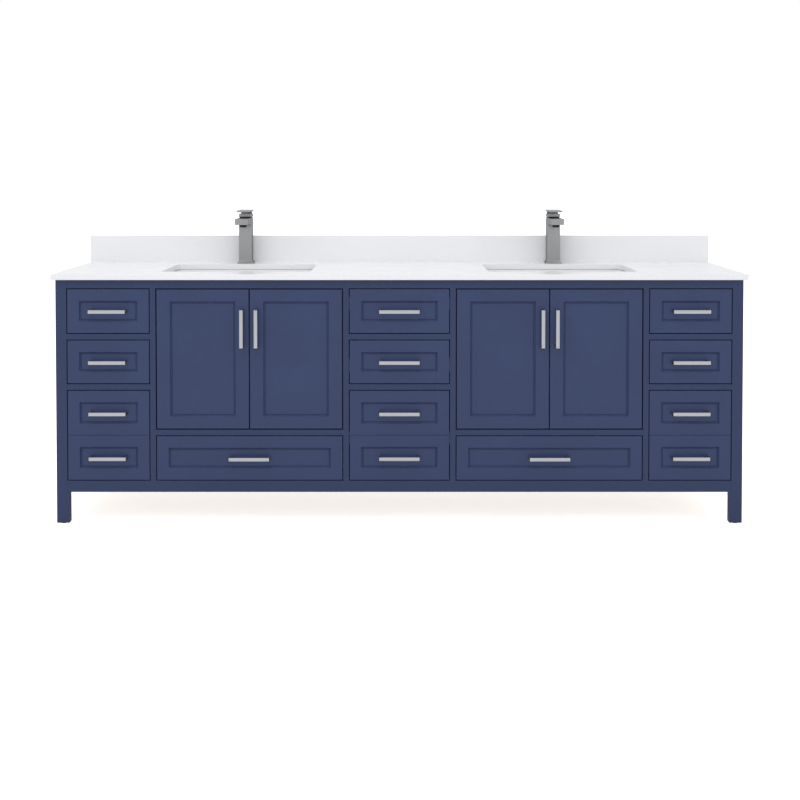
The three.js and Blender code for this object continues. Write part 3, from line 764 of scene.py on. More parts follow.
def build_face_frame(timber):
    """Stiles and rails between the corner posts, each a separate eased stick."""
    low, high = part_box("face_frame")
    front, back = low.y, low.y + timber.frame_thickness
    columns = [drawer_opening(timber, name)[0] for name in (
        "left_top_drawer", "left_wide_drawer", "centre_top_drawer", "right_wide_drawer", "right_top_drawer",
    )]
    ends = (columns[0][0], columns[-1][1])
    openings_low = drawer_opening(timber, "centre_deep_drawer")[1][0]
    openings_high = drawer_opening(timber, "centre_top_drawer")[1][1]
    slight = timber.paint_edge / 2

    stiles = bmesh.new()
    for left, right in zip(columns, columns[1:]):
        add_block(stiles, (left[1], front, openings_low), (right[0], back, openings_high))
    finish_piece(stiles, "face_frame_stiles", "satin_frame", slight)

    spans = [(ends, timber.leg_height, openings_low), (ends, openings_high, high.z)]
    for bank in BANKS:
        for upper, lower in zip(ROWS, ROWS[1:]):
            span, above = drawer_opening(timber, f"{bank}_{upper}_drawer")
            spans.append((span, drawer_opening(timber, f"{bank}_{lower}_drawer")[1][1], above[0]))
    for side, _ in SIDES:
        span, below = drawer_opening(timber, f"{side}_wide_drawer")
        spans.append((span, below[1], bay_opening(timber, side)[0]))
    rails = bmesh.new()
    for span, bottom, top in spans:
        add_block(rails, (span[0], front, bottom), (span[1], back, top))
    finish_piece(rails, "face_frame_rails", "satin_frame", slight, ["face_frame"])

    for side, sign in SIDES:
        outer = sign * high.x
        stile = ends[0] if sign < 0 else ends[1]
        foot = outer - sign * timber.leg_width
        post = bmesh.new()
        outline = [
            (outer, timber.glide_height), (foot, timber.glide_height), (foot, timber.leg_height),
            (stile, timber.leg_height), (stile, high.z), (outer, high.z),
        ]
        add_prism(post, outline, Y, front, high.y)
        finish_piece(post, f"corner_post_{side}", "satin_frame", timber.paint_edge)


def build_side_panel(timber, side, sign):
    """A side: a frame round a recessed panel, whose back stile runs down as the back leg."""
    low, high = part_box(f"side_panel_{side}")
    case_low, case_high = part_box("floor_and_back")
    outer, inner = (high.x, low.x) if sign > 0 else (low.x, high.x)
    thickness = abs(outer) - case_high.x - JOINT_PLAY
    border = timber.side_border
    columns = [low.y, low.y + border, high.y - border, high.y - timber.leg_width, high.y]
    heights = (
        timber.glide_height, timber.leg_height, timber.leg_height + border, high.z - border, high.z,
    )
    board = bmesh.new()
    add_panelled_board(
        board, timber, lambda u, v, depth: Vector((outer - sign * depth, u, v)), columns,
        [(height, 0.0) for height in heights], {(1, 2)}, thickness, {(0, 0), (1, 0), (2, 0)},
    )
    finish_piece(board, f"side_{side}", "satin_frame", timber.paint_edge, [f"side_panel_{side}"])
    block = bmesh.new()
    add_block(
        block, (outer - sign * (thickness + 0.1 * MM), high.y - timber.leg_width, timber.glide_height),
        (inner, high.y, case_low.z - JOINT_PLAY),
    )
    finish_piece(block, f"back_leg_block_{side}", "satin_frame", timber.paint_edge)


def build_glides(timber):
    """A nailed plastic glide under each leg."""
    glides = bmesh.new()
    radius = timber.glide_radius
    profile = [(radius * 0.82, 0.0), (radius, 0.8 * MM), (radius, timber.glide_height)]
    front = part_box("face_frame")
    for side, sign in SIDES:
        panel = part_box(f"side_panel_{side}")
        x = sign * (front[1].x - timber.leg_width / 2)
        back_x = (panel[0].x + panel[1].x) / 2
        for place in ((x, middle_of("face_frame").y), (back_x, panel[1].y - timber.leg_width / 2)):
            add_turned(glides, profile, (*place, 0.0))
    finish_piece(glides, "leg_glides", "dark_plastic")


# ---- Inside of the case

BAY_WALL = 12 * MM
SHELF = 15 * MM
WINDOW_MARGIN = 40 * MM  # wood left round a plumbing window
BACK_INSET = 0.6 * MM
BRACE_REACH, BRACE_END, BRACE_DROP = 90 * MM, 14 * MM, 18 * MM


def build_case(timber):
    """Floor, back, bay dividers and shelves, and corner braces."""
    low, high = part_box("floor_and_back")
    bay_low, bay_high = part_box("bay_case_left")
    back_front = bay_high.y + JOINT_PLAY
    post_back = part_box("face_frame")[1].y
    post = post_back + JOINT_PLAY
    notch = drawer_opening(timber, "right_top_drawer")[0][1] - JOINT_PLAY
    floor = bmesh.new()
    outline = [
        (-notch, bay_low.y), (notch, bay_low.y), (notch, post), (high.x, post), (high.x, back_front),
        (low.x, back_front), (low.x, post), (-notch, post),
    ]
    add_prism(floor, outline, Z, low.z, drawer_opening(timber, "centre_deep_drawer")[1][0])
    finish_piece(floor, "case_floor", "birch_across", timber.ply_edge)
    build_back(timber, low, high, back_front)
    for side, _ in SIDES:
        build_bay(timber, side)

    braces = bmesh.new()
    top = high.z - 1 * MM
    for sign in (-1, 1):
        x = sign * (high.x - 0.2 * MM)
        for y, way in ((post_back + 0.5 * MM, 1), (back_front - 0.2 * MM, -1)):
            far = y + way * BRACE_REACH
            outline = [
                (x, y), (x - sign * BRACE_REACH, y), (x - sign * BRACE_REACH, y + way * BRACE_END),
                (x - sign * BRACE_END, far), (x, far),
            ]
            add_prism(braces, outline, Z, top - BRACE_DROP, top)
    finish_piece(braces, "corner_braces", "birch_deep", timber.ply_edge)


def build_back(timber, low, high, front):
    """The back sheet, built of strips round a plumbing window behind each bay, and its screws."""
    windows = []
    for side, _ in SIDES:
        left, right = drawer_opening(timber, f"{side}_wide_drawer")[0]
        windows += [left + WINDOW_MARGIN, right - WINDOW_MARGIN]
    columns = [low.x, *windows, high.x]
    rows = [low.z, bay_opening(timber, "left")[0] + WINDOW_MARGIN, high.z - WINDOW_MARGIN, high.z]
    sheet = bmesh.new()
    grid = [[sheet.verts.new((u, front, v)) for v in rows] for u in columns]
    for i in range(len(columns) - 1):
        for j in range(len(rows) - 1):
            if not (i in (1, 3) and j == 1):
                sheet.faces.new((grid[i][j], grid[i + 1][j], grid[i + 1][j + 1], grid[i][j + 1]))
    back = high.y - BACK_INSET
    for made in bmesh.ops.extrude_face_region(sheet, geom=sheet.faces[:])["geom"]:
        if isinstance(made, bmesh.types.BMVert):
            made.co.y = back
    finish_piece(sheet, "case_back", "birch_upright", timber.ply_edge, ["floor_and_back"])

    screws = bmesh.new()
    inset, spacing, beside = 12 * MM, 150 * MM, 20 * MM
    edges = [low.x + inset, high.x - inset]
    edges += [edge + (beside if i % 2 else -beside) for i, edge in enumerate(windows)]
    for x in edges:
        for i in range(5):
            add_screw(screws, (x, back, low.z + inset + i * spacing), 3.2 * MM, BACK_INSET)
    finish_piece(screws, "back_screws", "zinc_steel")


def build_bay(timber, side):
    """The two dividers of a bay and the shelf over its wide drawer."""
    low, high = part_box(f"bay_case_{side}")
    dividers = bmesh.new()
    add_block(dividers, low, (low.x + BAY_WALL, high.y, high.z))
    add_block(dividers, (high.x - BAY_WALL, low.y, low.z), high)
    finish_piece(dividers, f"bay_dividers_{side}", "birch_upright", timber.ply_edge, [f"bay_case_{side}"])
    top = bay_opening(timber, side)[0]
    shelf = bmesh.new()
    add_block(shelf, (low.x + BAY_WALL, low.y, top - SHELF), (high.x - BAY_WALL, high.y, top))
    finish_piece(shelf, f"bay_shelf_{side}", "birch_across", timber.ply_edge)


# ---- Worktop, backsplash and basins

def basin_ring(stone, side, inset, radius=None):
    """An outline of a bowl, inset from its mouth."""
    low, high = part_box(f"basin_{side}")
    width = high.x - low.x - 2 * (stone.flange + inset)
    depth = high.y - low.y - 2 * (stone.flange + inset)
    centre = ((low.x + high.x) / 2, (low.y + high.y) / 2)
    return rounded_rectangle(centre, width, depth, radius or stone.bowl_corner, SIDE_STEPS)


def add_eased_slab(bm, levels, loops):
    """A level slab with holes. Each loop gives its outline at an offset into the material."""
    tops, bottoms = [], []
    for loop in loops:
        rings = [[bm.verts.new((a, b, z)) for a, b in loop(offset)] for offset, z in levels]
        for near, far in zip(rings, rings[1:]):
            skin(bm, near, far)
        for ring, edges in ((rings[0], tops), (rings[-1], bottoms)):
            edges += [bm.edges.get(pair) for pair in zip(ring, ring[1:] + ring[:1])]
    for edges in (tops, bottoms):
        bmesh.ops.triangle_fill(bm, use_beauty=True, use_dissolve=False, edges=edges)


def build_worktop(stone):
    """The slab with its basin cutouts and tap holes, the backsplash and the bead between them."""
    low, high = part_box("countertop")
    middle = middle_of("countertop")[:2]

    def outer(offset):
        size = (high.x - low.x - 2 * offset, high.y - low.y - 2 * offset)
        return rounded_rectangle(middle, *size, 1.5 * MM)

    def cutout(side):
        return lambda offset: basin_ring(stone, side, -offset, stone.bowl_corner + offset)

    def tap_hole(side):
        centre = middle_of(f"faucet_cap_{side}")
        return lambda offset: arc(centre, stone.tap_hole + offset, 0, 352.5, 47)

    loops = [outer]
    for side, _ in SIDES:
        loops += [cutout(side), tap_hole(side)]
    slab = bmesh.new()
    add_eased_slab(slab, eased_levels(low.z, high.z, stone.edge)[::-1], loops)
    finish_piece(slab, "worktop", "engineered_stone", replaces=["countertop"])

    splash = bmesh.new()
    add_block(splash, *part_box("backsplash"))
    finish_piece(
        splash, "backsplash_board", "engineered_stone", stone.edge / 2, ["backsplash"], segments=3,
    )

    bead = bmesh.new()
    y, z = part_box("backsplash")[0].y + 0.2 * MM, high.z + STONE_TOUCH
    curve = arc((y - stone.bead, z + stone.bead), stone.bead, 0, -90)
    add_prism(bead, [(y, z), *curve], X, low.x + 1 * MM, high.x - 1 * MM)
    finish_piece(bead, "silicone_bead", "silicone")


BOWL_PROFILE = (  # inset from the mouth and height over the floor, in millimetres
    (44, 1.2), (34, 2.2), (27, 3.6), (21, 6.0), (16, 9.6), (12.6, 14.5), (10.4, 21), (9.0, 30),
    (5.0, 72), (1.6, 118),
)
FLOOR_FALL = 1.2  # from the floor's edge to the waste, in millimetres
RIM_PROFILE = ((0.3, -6), (-0.4, -3.6), (-2.2, -2.4), (-3.4, -1.6), (-4, 0))  # inset, height on the rim


def build_basin(stone, side):
    """The bowl: a glazed shell whose floor falls to a round waste hole, with a flange under the worktop."""
    low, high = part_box(f"basin_{side}")
    rim, floor = high.z, high.z - stone.bowl_depth
    wall = stone.basin_wall
    middle = (low + high) / 2
    middle.z = 0.0
    half = ((high.x - low.x) / 2, (high.y - low.y) / 2)

    def ring(inset, z, radius=None):
        return [Vector((a, b, z)) for a, b in basin_ring(stone, side, inset, radius)]

    def round_ring(source, t, z):
        """A ring on the way from the bowl's outline to the waste hole."""
        points = []
        for point in source:
            turn = math.atan2((point.y - middle.y) / half[1], (point.x - middle.x) / half[0])
            hole = middle + stone.drain_radius * Vector((math.cos(turn), math.sin(turn), 0.0))
            blended = point.lerp(hole, t)
            blended.z = z
            points.append(blended)
        return points

    inner = [(inset, floor + rise) for inset, rise in scaled(BOWL_PROFILE)]
    first = ring(*inner[0])
    rings = [round_ring(first, t, floor + (1 - t) * FLOOR_FALL * MM) for t in (1.0, 0.9, 0.6, 0.3)]
    rings += [ring(inset, z) for inset, z in inner]
    rings += [ring(inset, rim + rise) for inset, rise in scaled(RIM_PROFILE)]
    out = stone.flange
    under = rim - stone.flange_thickness
    ease = 1 * MM
    rings += [ring(inset, z, stone.bowl_corner + out) for inset, z in (
        (ease - out, rim), (-out, rim - ease), (-out, under + ease), (ease - out, under),
    )]
    rings += [ring(-wall - 4 * MM, under), ring(-wall, under - 4 * MM)]
    rings += [ring(inset - wall, z - wall * 0.9) for inset, z in reversed(inner[:-2])]
    last = ring(inner[0][0] - wall, floor - wall)
    rings += [round_ring(last, t, floor - wall) for t in (0.4, 0.8, 1.0)]
    bowl = bmesh.new()
    add_loft(bowl, rings, closed=True)
    finish_piece(bowl, f"basin_bowl_{side}", "white_glaze", replaces=[f"basin_{side}"])
    build_overflow(stone, side)
    build_waste(stone, side, middle, floor)
    build_clips(stone, side)


TRIM_RINGS = ((40, 9.6, 0.4), (39, 8.8, -1.2), (36, 6.4, -1.4), (35, 5.6, 0.2))  # width, height, depth
# Rings of the dark plug in the overflow's slot: painted shade.
SHADE_PLUG_RINGS = ((35.6, 6, 0.6), (35.4, 5.8, -0.2))


def build_overflow(stone, side):
    """A slotted trim on the bowl's back wall, with a dark plug behind it, the overflow way, that paints the
    shade inside the overflow.
    """
    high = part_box(f"basin_{side}")[1]
    centre = (middle_of(f"basin_{side}").x, high.z - stone.overflow_drop)
    wall_y = high.y - stone.flange - 0.6 * MM
    for label, finish, slot, rings in (
        # The "way" is a dark plug in the slot: painted shade inside the overflow's hole.
        ("trim", "chrome", METAL_SLOT, TRIM_RINGS), ("way", "dark_plastic", "ceramic", SHADE_PLUG_RINGS),
    ):
        bm = bmesh.new()
        slots = []
        for width, height, depth in rings:
            ring = rounded_rectangle(centre, width * MM, height * MM, (height / 2 - 0.05) * MM)
            slots.append([Vector((a, wall_y + depth * MM, b)) for a, b in ring])
        add_loft(bm, slots, closed=label == "trim")
        finish_piece(bm, f"overflow_{label}_{side}", finish)


FLANGE_PROFILE = (  # out from the waste hole, and height, in millimetres
    (-2.5, -6), (-2.5, 0.4), (-0.5, 1.8), (4, 2.4), (8.5, 1.5), (9.5, 0.2), (4, 0.2), (-0.6, 0.2), (-0.6, -6),
)
STOPPER_PROFILE = (  # share of the radius, and height in millimetres
    (0.3, -24), (0.3, -1), (1, -0.5), (1, 2.2), (0.96, 3.4), (0.8, 4.6), (0.5, 5.6), (0.15, 6),
)
PIPE_PROFILE = ((16, -50), (16, -138), (15.4, -140), (14, -140), (14, -60))
WASHER_PROFILE = ((1, -4), (9, -4), (9, -0.3), (1, -0.3))  # out from the waste hole, and height


def build_waste(stone, side, middle, floor):
    """The waste: a flange in the bowl, a domed stopper, and a threaded body with its nut and pipe below."""
    hole = stone.drain_radius
    x, y = middle.x, middle.y
    under = floor - stone.basin_wall
    around = [(hole + out, z) for out, z in scaled(FLANGE_PROFILE)]
    finish_turned(f"waste_flange_{side}", "chrome", around, (x, y, floor), True)
    radius = hole - 4 * MM
    dome = [(radius * part, z * MM) for part, z in STOPPER_PROFILE]
    finish_turned(f"waste_stopper_{side}", "chrome", dome, (x, y, floor))
    body = hole - 0.8 * MM
    inside = body - 3.5 * MM
    pipe = [(body, 4 * MM), *thread(body, 0.9 * MM, 4 * MM, 12), *scaled(PIPE_PROFILE)]
    pipe += [(inside, -44 * MM), (inside, 4 * MM)]
    finish_turned(f"waste_tail_{side}", "chrome", pipe, (x, y, under), True)
    washer = [(hole + out, z) for out, z in scaled(WASHER_PROFILE)]
    finish_turned(f"waste_washer_{side}", "dark_plastic", washer, (x, y, under), True)
    nut = bmesh.new()
    add_nut(nut, (x, y, under - 4.2 * MM), hole + 8 * MM, hole + 0.6 * MM, 9 * MM)
    finish_piece(nut, f"waste_nut_{side}", "zinc_steel", 0.6 * MM)


def add_nut(bm, place, radius, hole, height):
    """A six-sided nut that hangs down from a place, round a hole."""
    outer, inner = [], []
    for i in range(NUT_STEPS):
        turn = 2 * math.pi * i / NUT_STEPS
        flat = math.cos(math.pi / 6) / math.cos((turn % (math.pi / 3)) - math.pi / 6)
        for ring, reach in ((outer, radius * flat), (inner, hole)):
            ring.append((place[0] + reach * math.cos(turn), place[1] + reach * math.sin(turn)))
    rings = [(outer, 0.0), (outer, -height), (inner, -height), (inner, 0.0)]
    add_loft(bm, [[(a, b, place[2] + z) for a, b in ring] for ring, z in rings], closed=True)


CLIP_STEEL, CLIP_HALF, CLIP_REACH, CLIP_SPACING = 1.6 * MM, 10 * MM, 20 * MM, 170 * MM
CLIP_SCREW = ((4, 0), (4, -1.6), (2.6, -2.6))


def build_clips(stone, side):
    """Steel clips that hold the bowl's flange up against the worktop, each with its screw."""
    low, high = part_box(f"basin_{side}")
    top = high.z - 0.1 * MM
    bottom = top - stone.flange_thickness - 0.4 * MM
    upper, lower = top - CLIP_STEEL, bottom - CLIP_STEEL
    clips, screws = bmesh.new(), bmesh.new()
    middle_x = (low.x + high.x) / 2
    for x in (middle_x - CLIP_SPACING, middle_x + CLIP_SPACING):
        for edge, way in ((low.y, -1), (high.y, 1)):
            out = edge + way * 1 * MM
            far, hook, bend = out + way * CLIP_REACH, out - way * 14 * MM, out + way * CLIP_STEEL
            outline = [
                (far, upper), (far, top), (out, top), (out, bottom), (hook, bottom), (hook, lower),
                (bend, lower), (bend, upper),
            ]
            add_prism(clips, outline, X, x - CLIP_HALF, x + CLIP_HALF)
            add_turned(screws, scaled(CLIP_SCREW), (x, out + way * 12 * MM, upper), steps=SCREW_STEPS)
    finish_piece(clips, f"basin_clips_{side}", "zinc_steel", 0.3 * MM)
    finish_piece(screws, f"basin_clip_screws_{side}", "zinc_steel")


# ---- Taps

FOOT_RISE = (  # height, narrowing from the flare and share of the corner radius, in millimetres
    (0.3, 0, 1), (2.8, 0, 1), (3.4, 0.7, 1), (6.2, 4.2, 1), (9.2, 7.8, 1), (12, 10.6, 1),
)
COLUMN_START = 14 * MM
AERATOR_PROFILE = ((13.6, 0), (13.9, -1.2), (13.9, -10.4), (13.1, -11.4), (10.6, -11.4), (10.4, -5.4))
FIXING_PROFILE = ((17, -2.8), (22, -2.8), (22, -0.2), (17, -0.2))
AERATOR_SETBACK = 50 * MM
SHADE_GASKET_INSET, SHADE_GASKET_HOLE = 5 * MM, 15.6 * MM
SHANK_RADIUS = 16 * MM
NECK_RADIUS, NECK_GAP = 15 * MM, 3 * MM
LUG_PLACE, LUG_WIDTH, LUG_HALF, LUG_RADIUS = 18.3 * MM, 2.6 * MM, 5.5 * MM, 2.4 * MM
PIN_SETBACK, PIN_RISE = 7 * MM, 5 * MM
LEVER_THICKNESS = 6 * MM
BARREL_PROFILE = ((4.2, -18), (4.9, -17.3), (4.9, 17.3), (4.2, 18))


def build_tap_body(metal, side):
    """The tap's flared foot, column and spout, the aerator under its tip and a dark ring over the column. The
    ring paints the shade in the gap under the cap, and the aerator's dark plastic also paints the shade under
    the spout's tip.
    """
    low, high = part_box(f"faucet_body_{side}")
    cap_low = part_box(f"faucet_cap_{side}")[0]
    x, y, _ = middle_of(f"faucet_cap_{side}")
    base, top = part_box("countertop")[1].z, high.z
    column, corner, edge = metal.column_side, metal.column_corner, metal.tap_edge
    flare = high.x - low.x
    rings = [
        level_square((x, y), base + height * MM, flare - narrower * MM, corner * part)
        for height, narrower, part in FOOT_RISE
    ]
    rings.append(level_square((x, y), base + COLUMN_START, column, corner))
    for inset, rise in reversed(EASE_PROFILE):
        rings.append(level_square((x, y), top - edge * rise, column - 2 * edge * inset, corner))
    body = bmesh.new()
    add_loft(body, rings)

    spout = metal.spout_height
    rings = []
    for place, inset in ((y, 0.0), (low.y + edge, 0.0), (low.y + edge * 0.29, edge * 0.29), (low.y, edge)):
        size = (column - 2 * inset - 0.1 * MM, spout - 2 * inset - 0.1 * MM)
        outline = rounded_rectangle((x, top - spout / 2), *size, corner * 0.6)
        rings.append([(a, place, b) for a, b in outline])
    add_loft(body, rings)
    finish_piece(body, f"tap_body_{side}", "nickel_tap", replaces=[f"faucet_body_{side}"])
    # The aerator's dark plastic is partly its own colour and partly painted shade under the spout's tip.
    place = (x, low.y + AERATOR_SETBACK, top - spout + 0.5 * MM)
    finish_turned(f"tap_aerator_{side}", "dark_plastic", scaled(AERATOR_PROFILE), place)

    # A dark ring that fills the gap between the column's top and the cap: painted shade.
    shade_gasket = bmesh.new()
    levels = (top + 0.05 * MM, cap_low.z + 2.6 * MM)
    squares = [level_square((x, y), z, column - SHADE_GASKET_INSET, corner) for z in levels]
    points = len(squares[0])
    turns = [math.radians(-45) + 2 * math.pi * (i + 0.5) / points for i in range(points)]
    hole = [(x + SHADE_GASKET_HOLE * math.cos(turn), y + SHADE_GASKET_HOLE * math.sin(turn)) for turn in turns]
    rounds = [[(a, b, z) for a, b in hole] for z in reversed(levels)]
    add_loft(shade_gasket, [*squares, *rounds], closed=True)
    finish_piece(shade_gasket, f"tap_shade_gasket_{side}", "dark_plastic", 0.3 * MM)


def build_tap_fixing(metal, side):
    """The tap's threaded shank through the worktop, with its washer and nut below."""
    x, y, _ = middle_of(f"faucet_cap_{side}")
    low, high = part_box("countertop")
    thickness = high.z - low.z
    end = thickness - metal.shank_length
    profile = [(SHANK_RADIUS, thickness - 0.5 * MM), *thread(SHANK_RADIUS, 0.6 * MM, 2 * MM, 22)]
    profile += [(SHANK_RADIUS, -44 * MM), (SHANK_RADIUS, end + 1 * MM), (SHANK_RADIUS - 1.2 * MM, end)]
    finish_turned(f"tap_shank_{side}", "zinc_steel", profile, (x, y, low.z))
    fixing = bmesh.new()
    add_turned(fixing, scaled(FIXING_PROFILE), (x, y, low.z), closed=True)
    add_nut(fixing, (x, y, low.z - 3 * MM), 21 * MM, 16.8 * MM, 8 * MM)
    finish_piece(fixing, f"tap_fixing_{side}", "zinc_steel", 0.4 * MM)


def pin_place(side):
    """Where the lever's pin is, at the middle of its length."""
    low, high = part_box(f"faucet_lever_{side}")
    return Vector((middle_of(f"faucet_cap_{side}").x, high.y - PIN_SETBACK, low.z + PIN_RISE))


def build_tap_cap(metal, side):
    """The cap that swivels on the column, with a lug at each end of the lever's pin."""
    low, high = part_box(f"faucet_cap_{side}")
    x, y, _ = middle_of(f"faucet_cap_{side}")
    cap = bmesh.new()
    add_loft(cap, [
        level_square((x, y), z, high.x - low.x - 2 * inset, metal.column_corner)
        for inset, z in eased_levels(low.z + NECK_GAP, high.z, metal.tap_edge)
    ])
    add_turned(cap, [(NECK_RADIUS, 0.0), (NECK_RADIUS, 4 * MM)], (x, y, low.z))
    pin = pin_place(side)
    foot = high.z - 0.2 * MM
    lug = [(pin.y + LUG_HALF, foot), *arc((pin.y, pin.z), LUG_RADIUS, 0, 180), (pin.y - LUG_HALF, foot)]
    for sign in (-1, 1):
        near = x + sign * LUG_PLACE
        add_prism(cap, lug, X, near, near + sign * LUG_WIDTH)
    finish_piece(
        cap, f"tap_cap_top_{side}", "nickel_tap", replaces=[f"faucet_cap_{side}"], body=f"tap_cap_{side}",
    )


def build_tap_lever(metal, side):
    """The flat lever and the barrel of its pin."""
    low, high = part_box(f"faucet_lever_{side}")
    middle = middle_of(f"faucet_lever_{side}")
    lever = bmesh.new()
    add_loft(lever, [
        [(a, b, z) for a, b in rounded_rectangle(
            middle, high.x - low.x - 2 * inset, high.y - low.y - 2 * inset, metal.column_corner,
        )] for inset, z in eased_levels(high.z - LEVER_THICKNESS, high.z, metal.tap_edge)
    ])
    add_turned(lever, scaled(BARREL_PROFILE), pin_place(side), X, steps=24)
    finish_piece(
        lever, f"tap_lever_plate_{side}", "nickel_tap", replaces=[f"faucet_lever_{side}"],
        body=f"tap_lever_{side}",
    )


# ---- Drawers

SCREW_INSET = 34 * MM
TAIL_ROOT, TAIL_TIP = 0.24, 0.34  # half widths of a dovetail, as shares of the tails' spacing


def build_drawer_front(timber, name):
    """A drawer's face with one recessed panel, or with two and a groove between them."""
    low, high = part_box(f"{name}_front")
    panels = 2 if "deep" in name else 1
    part = (high.z - low.z) / panels
    border, groove = timber.drawer_border, timber.groove_depth
    rows = [(low.z, 0.0)]
    mouths = set()
    for i in range(panels):
        base = low.z + i * part
        if i:
            half, slant = timber.groove_width / 2, 0.5 * MM
            rows += [(base - half, 0.0), (base - half + slant, groove)]
            rows += [(base + half - slant, groove), (base + half, 0.0)]
        mouths.add((1, len(rows)))
        rows += [(base + border, 0.0), (base + part - border, 0.0)]
    rows.append((high.z, 0.0))
    board = bmesh.new()
    add_panelled_board(
        board, timber, lambda u, v, depth: Vector((u, low.y + depth, v)),
        [low.x, low.x + border, high.x - border, high.x], rows, mouths, high.y - low.y,
    )
    finish_piece(board, f"{name}_face", "satin_front", timber.paint_edge, [f"{name}_front"], name)


def build_drawer_box(timber, name):
    """A box of four walls with dovetailed corners, and a bottom set in above their lower edges."""
    low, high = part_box(f"{name}_box")
    wall = timber.box_wall
    front, back = low.y + wall, high.y - wall
    count = max(2, round((high.z - low.z) / timber.tail_pitch))
    step = (high.z - low.z) / count
    tails = [low.z + (i + 0.5) * step for i in range(count)]
    root, tip = step * TAIL_ROOT, step * TAIL_TIP

    outline = [(front, low.z)]
    for z in tails:
        outline += [(front, z - root), (low.y, z - tip), (low.y, z + tip), (front, z + root)]
    outline += [(front, high.z), (back, high.z)]
    for z in reversed(tails):
        outline += [(back, z + root), (high.y, z + tip), (high.y, z - tip), (back, z - root)]
    outline.append((back, low.z))
    walls = ((low.x, low.x + wall), (high.x - wall, high.x))
    sides = bmesh.new()
    for span in walls:
        add_prism(sides, outline, X, *span)
    finish_piece(sides, f"{name}_box_sides", "birch_deep", timber.ply_edge, [f"{name}_box"], name)

    ends = bmesh.new()
    for inner, outer in ((front, low.y), (back, high.y)):
        add_block(ends, (low.x + wall, inner, low.z), (high.x - wall, outer, high.z))
        for below, above in zip([None, *tails], [*tails, None]):
            bottom = (low.z, low.z) if below is None else (below + root, below + tip)
            top = (high.z, high.z) if above is None else (above - root, above - tip)
            pin = [(inner, bottom[0]), (outer, bottom[1]), (outer, top[1]), (inner, top[0])]
            for span in walls:
                add_prism(ends, pin, X, *span)
    finish_piece(ends, f"{name}_box_ends", "birch_across", timber.ply_edge * 0.6, body=name)

    bottom = bmesh.new()
    floor = low.z + timber.box_floor_raise
    add_block(bottom, (low.x + wall, front, floor), (high.x - wall, back, floor + timber.box_floor))
    finish_piece(bottom, f"{name}_box_bottom", "birch_across", body=name)


def build_drawer_screws(timber, metal, name):
    """Screws inside the box that hold the face on it, and those of the pulls."""
    low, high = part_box(f"{name}_box")
    inside = low.y + timber.box_wall
    screws = bmesh.new()
    for x in (low.x + SCREW_INSET, high.x - SCREW_INSET):
        for z in (low.z + SCREW_INSET, high.z - SCREW_INSET * 0.8):
            add_screw(screws, (x, inside, z), metal.screw_radius, 2.2 * MM)
    for node in pull_nodes(name):
        pull_low, pull_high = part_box(node)
        z = (pull_low.z + pull_high.z) / 2
        for x in (pull_low.x + metal.pull_foot / 2, pull_high.x - metal.pull_foot / 2):
            if low.z + 20 * MM < z < high.z - 6 * MM:
                add_screw(screws, (x, inside, z), metal.screw_radius * 1.1, 2.6 * MM)
    finish_piece(screws, f"{name}_screws", "zinc_steel", body=name)


def pull_nodes(name):
    """The frame's nodes of a drawer's or a door's pulls."""
    labels = ("lower_pull", "upper_pull") if "deep" in name else ("pull",)
    return [f"{name}_{label}" for label in labels]


def build_pull(metal, node, body):
    """A bar pull: one bent flat bar with round corners and two feet."""
    low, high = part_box(node)
    upright = high.z - low.z > high.x - low.x
    run, across = (Z, X) if upright else (X, Z)
    half = (high[run] - low[run]) / 2
    middle = (high[run] + low[run]) / 2
    bar, foot = low.y, high.y
    outer, inner = metal.pull_corner, metal.pull_corner * 0.6
    inside = half - metal.pull_foot
    under = bar + metal.pull_thickness
    outline = [
        (-half, foot), *arc((-half + outer, bar + outer), outer, 180, 270, 4),
        *arc((half - outer, bar + outer), outer, 270, 360, 4), (half, foot), (inside, foot),
        *arc((inside - inner, under + inner), inner, 0, -90, 4),
        *arc((-inside + inner, under + inner), inner, -90, -180, 4), (-inside, foot),
    ]
    centre = (low[across] + high[across]) / 2
    broad = (high[across] - low[across]) / 2
    rings = []
    for part, sunk in PULL_CROWN:
        ring = []
        for u, y in outline:
            near = y + metal.crown * sunk if y < under - inner else y
            pair = (middle + u, near) if run == X else (near, middle + u)
            ring.append(along(across, *pair, centre + broad * part))
        rings.append(ring)
    pull = bmesh.new()
    add_loft(pull, rings)
    finish = "nickel_upright_pull" if upright else "nickel_level_pull"
    finish_piece(pull, f"{node}_bar", finish, metal.pull_edge / 2, [node], body)


# ---- Slides

CHANNEL_SPAN = (0.1 * MM, 9.6 * MM)  # of a channel's section, out from the opening
RAIL_LIP, RAIL_SHORTER = 3.2 * MM, 6 * MM
RAIL_SHARE = 0.58  # of a rail's height in its channel's
CAGE_SPAN = (3.4 * MM, 8.6 * MM)
CAGE_PLACE, CAGE_THIN = 0.77, 0.10  # a ball cage's height and half thickness, as shares of the channel
RIVET_PROFILE = ((3.6, 0), (3.4, 0.7), (1.4, 0.9))


def slide_level(metal, name):
    """Height of a drawer's slides. A top drawer has them high up, clear of an open door's pull."""
    low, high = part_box(f"{name}_box")
    return high.z - metal.slide_from_top if "top" in name else (low.z + high.z) / 2


def slide_outline(wall_x, way, near, far, half, sheet, z):
    """Section of a channel: its web stands at `near`, and its lips reach to `far`, along X from a wall."""
    inner = near + sheet if far > near else near - sheet
    points = [
        (near, -half), (far, -half), (far, -half + sheet), (inner, -half + sheet),
        (inner, half - sheet), (far, half - sheet), (far, half), (near, half),
    ]
    return [(wall_x + way * t, z + b) for t, b in points]


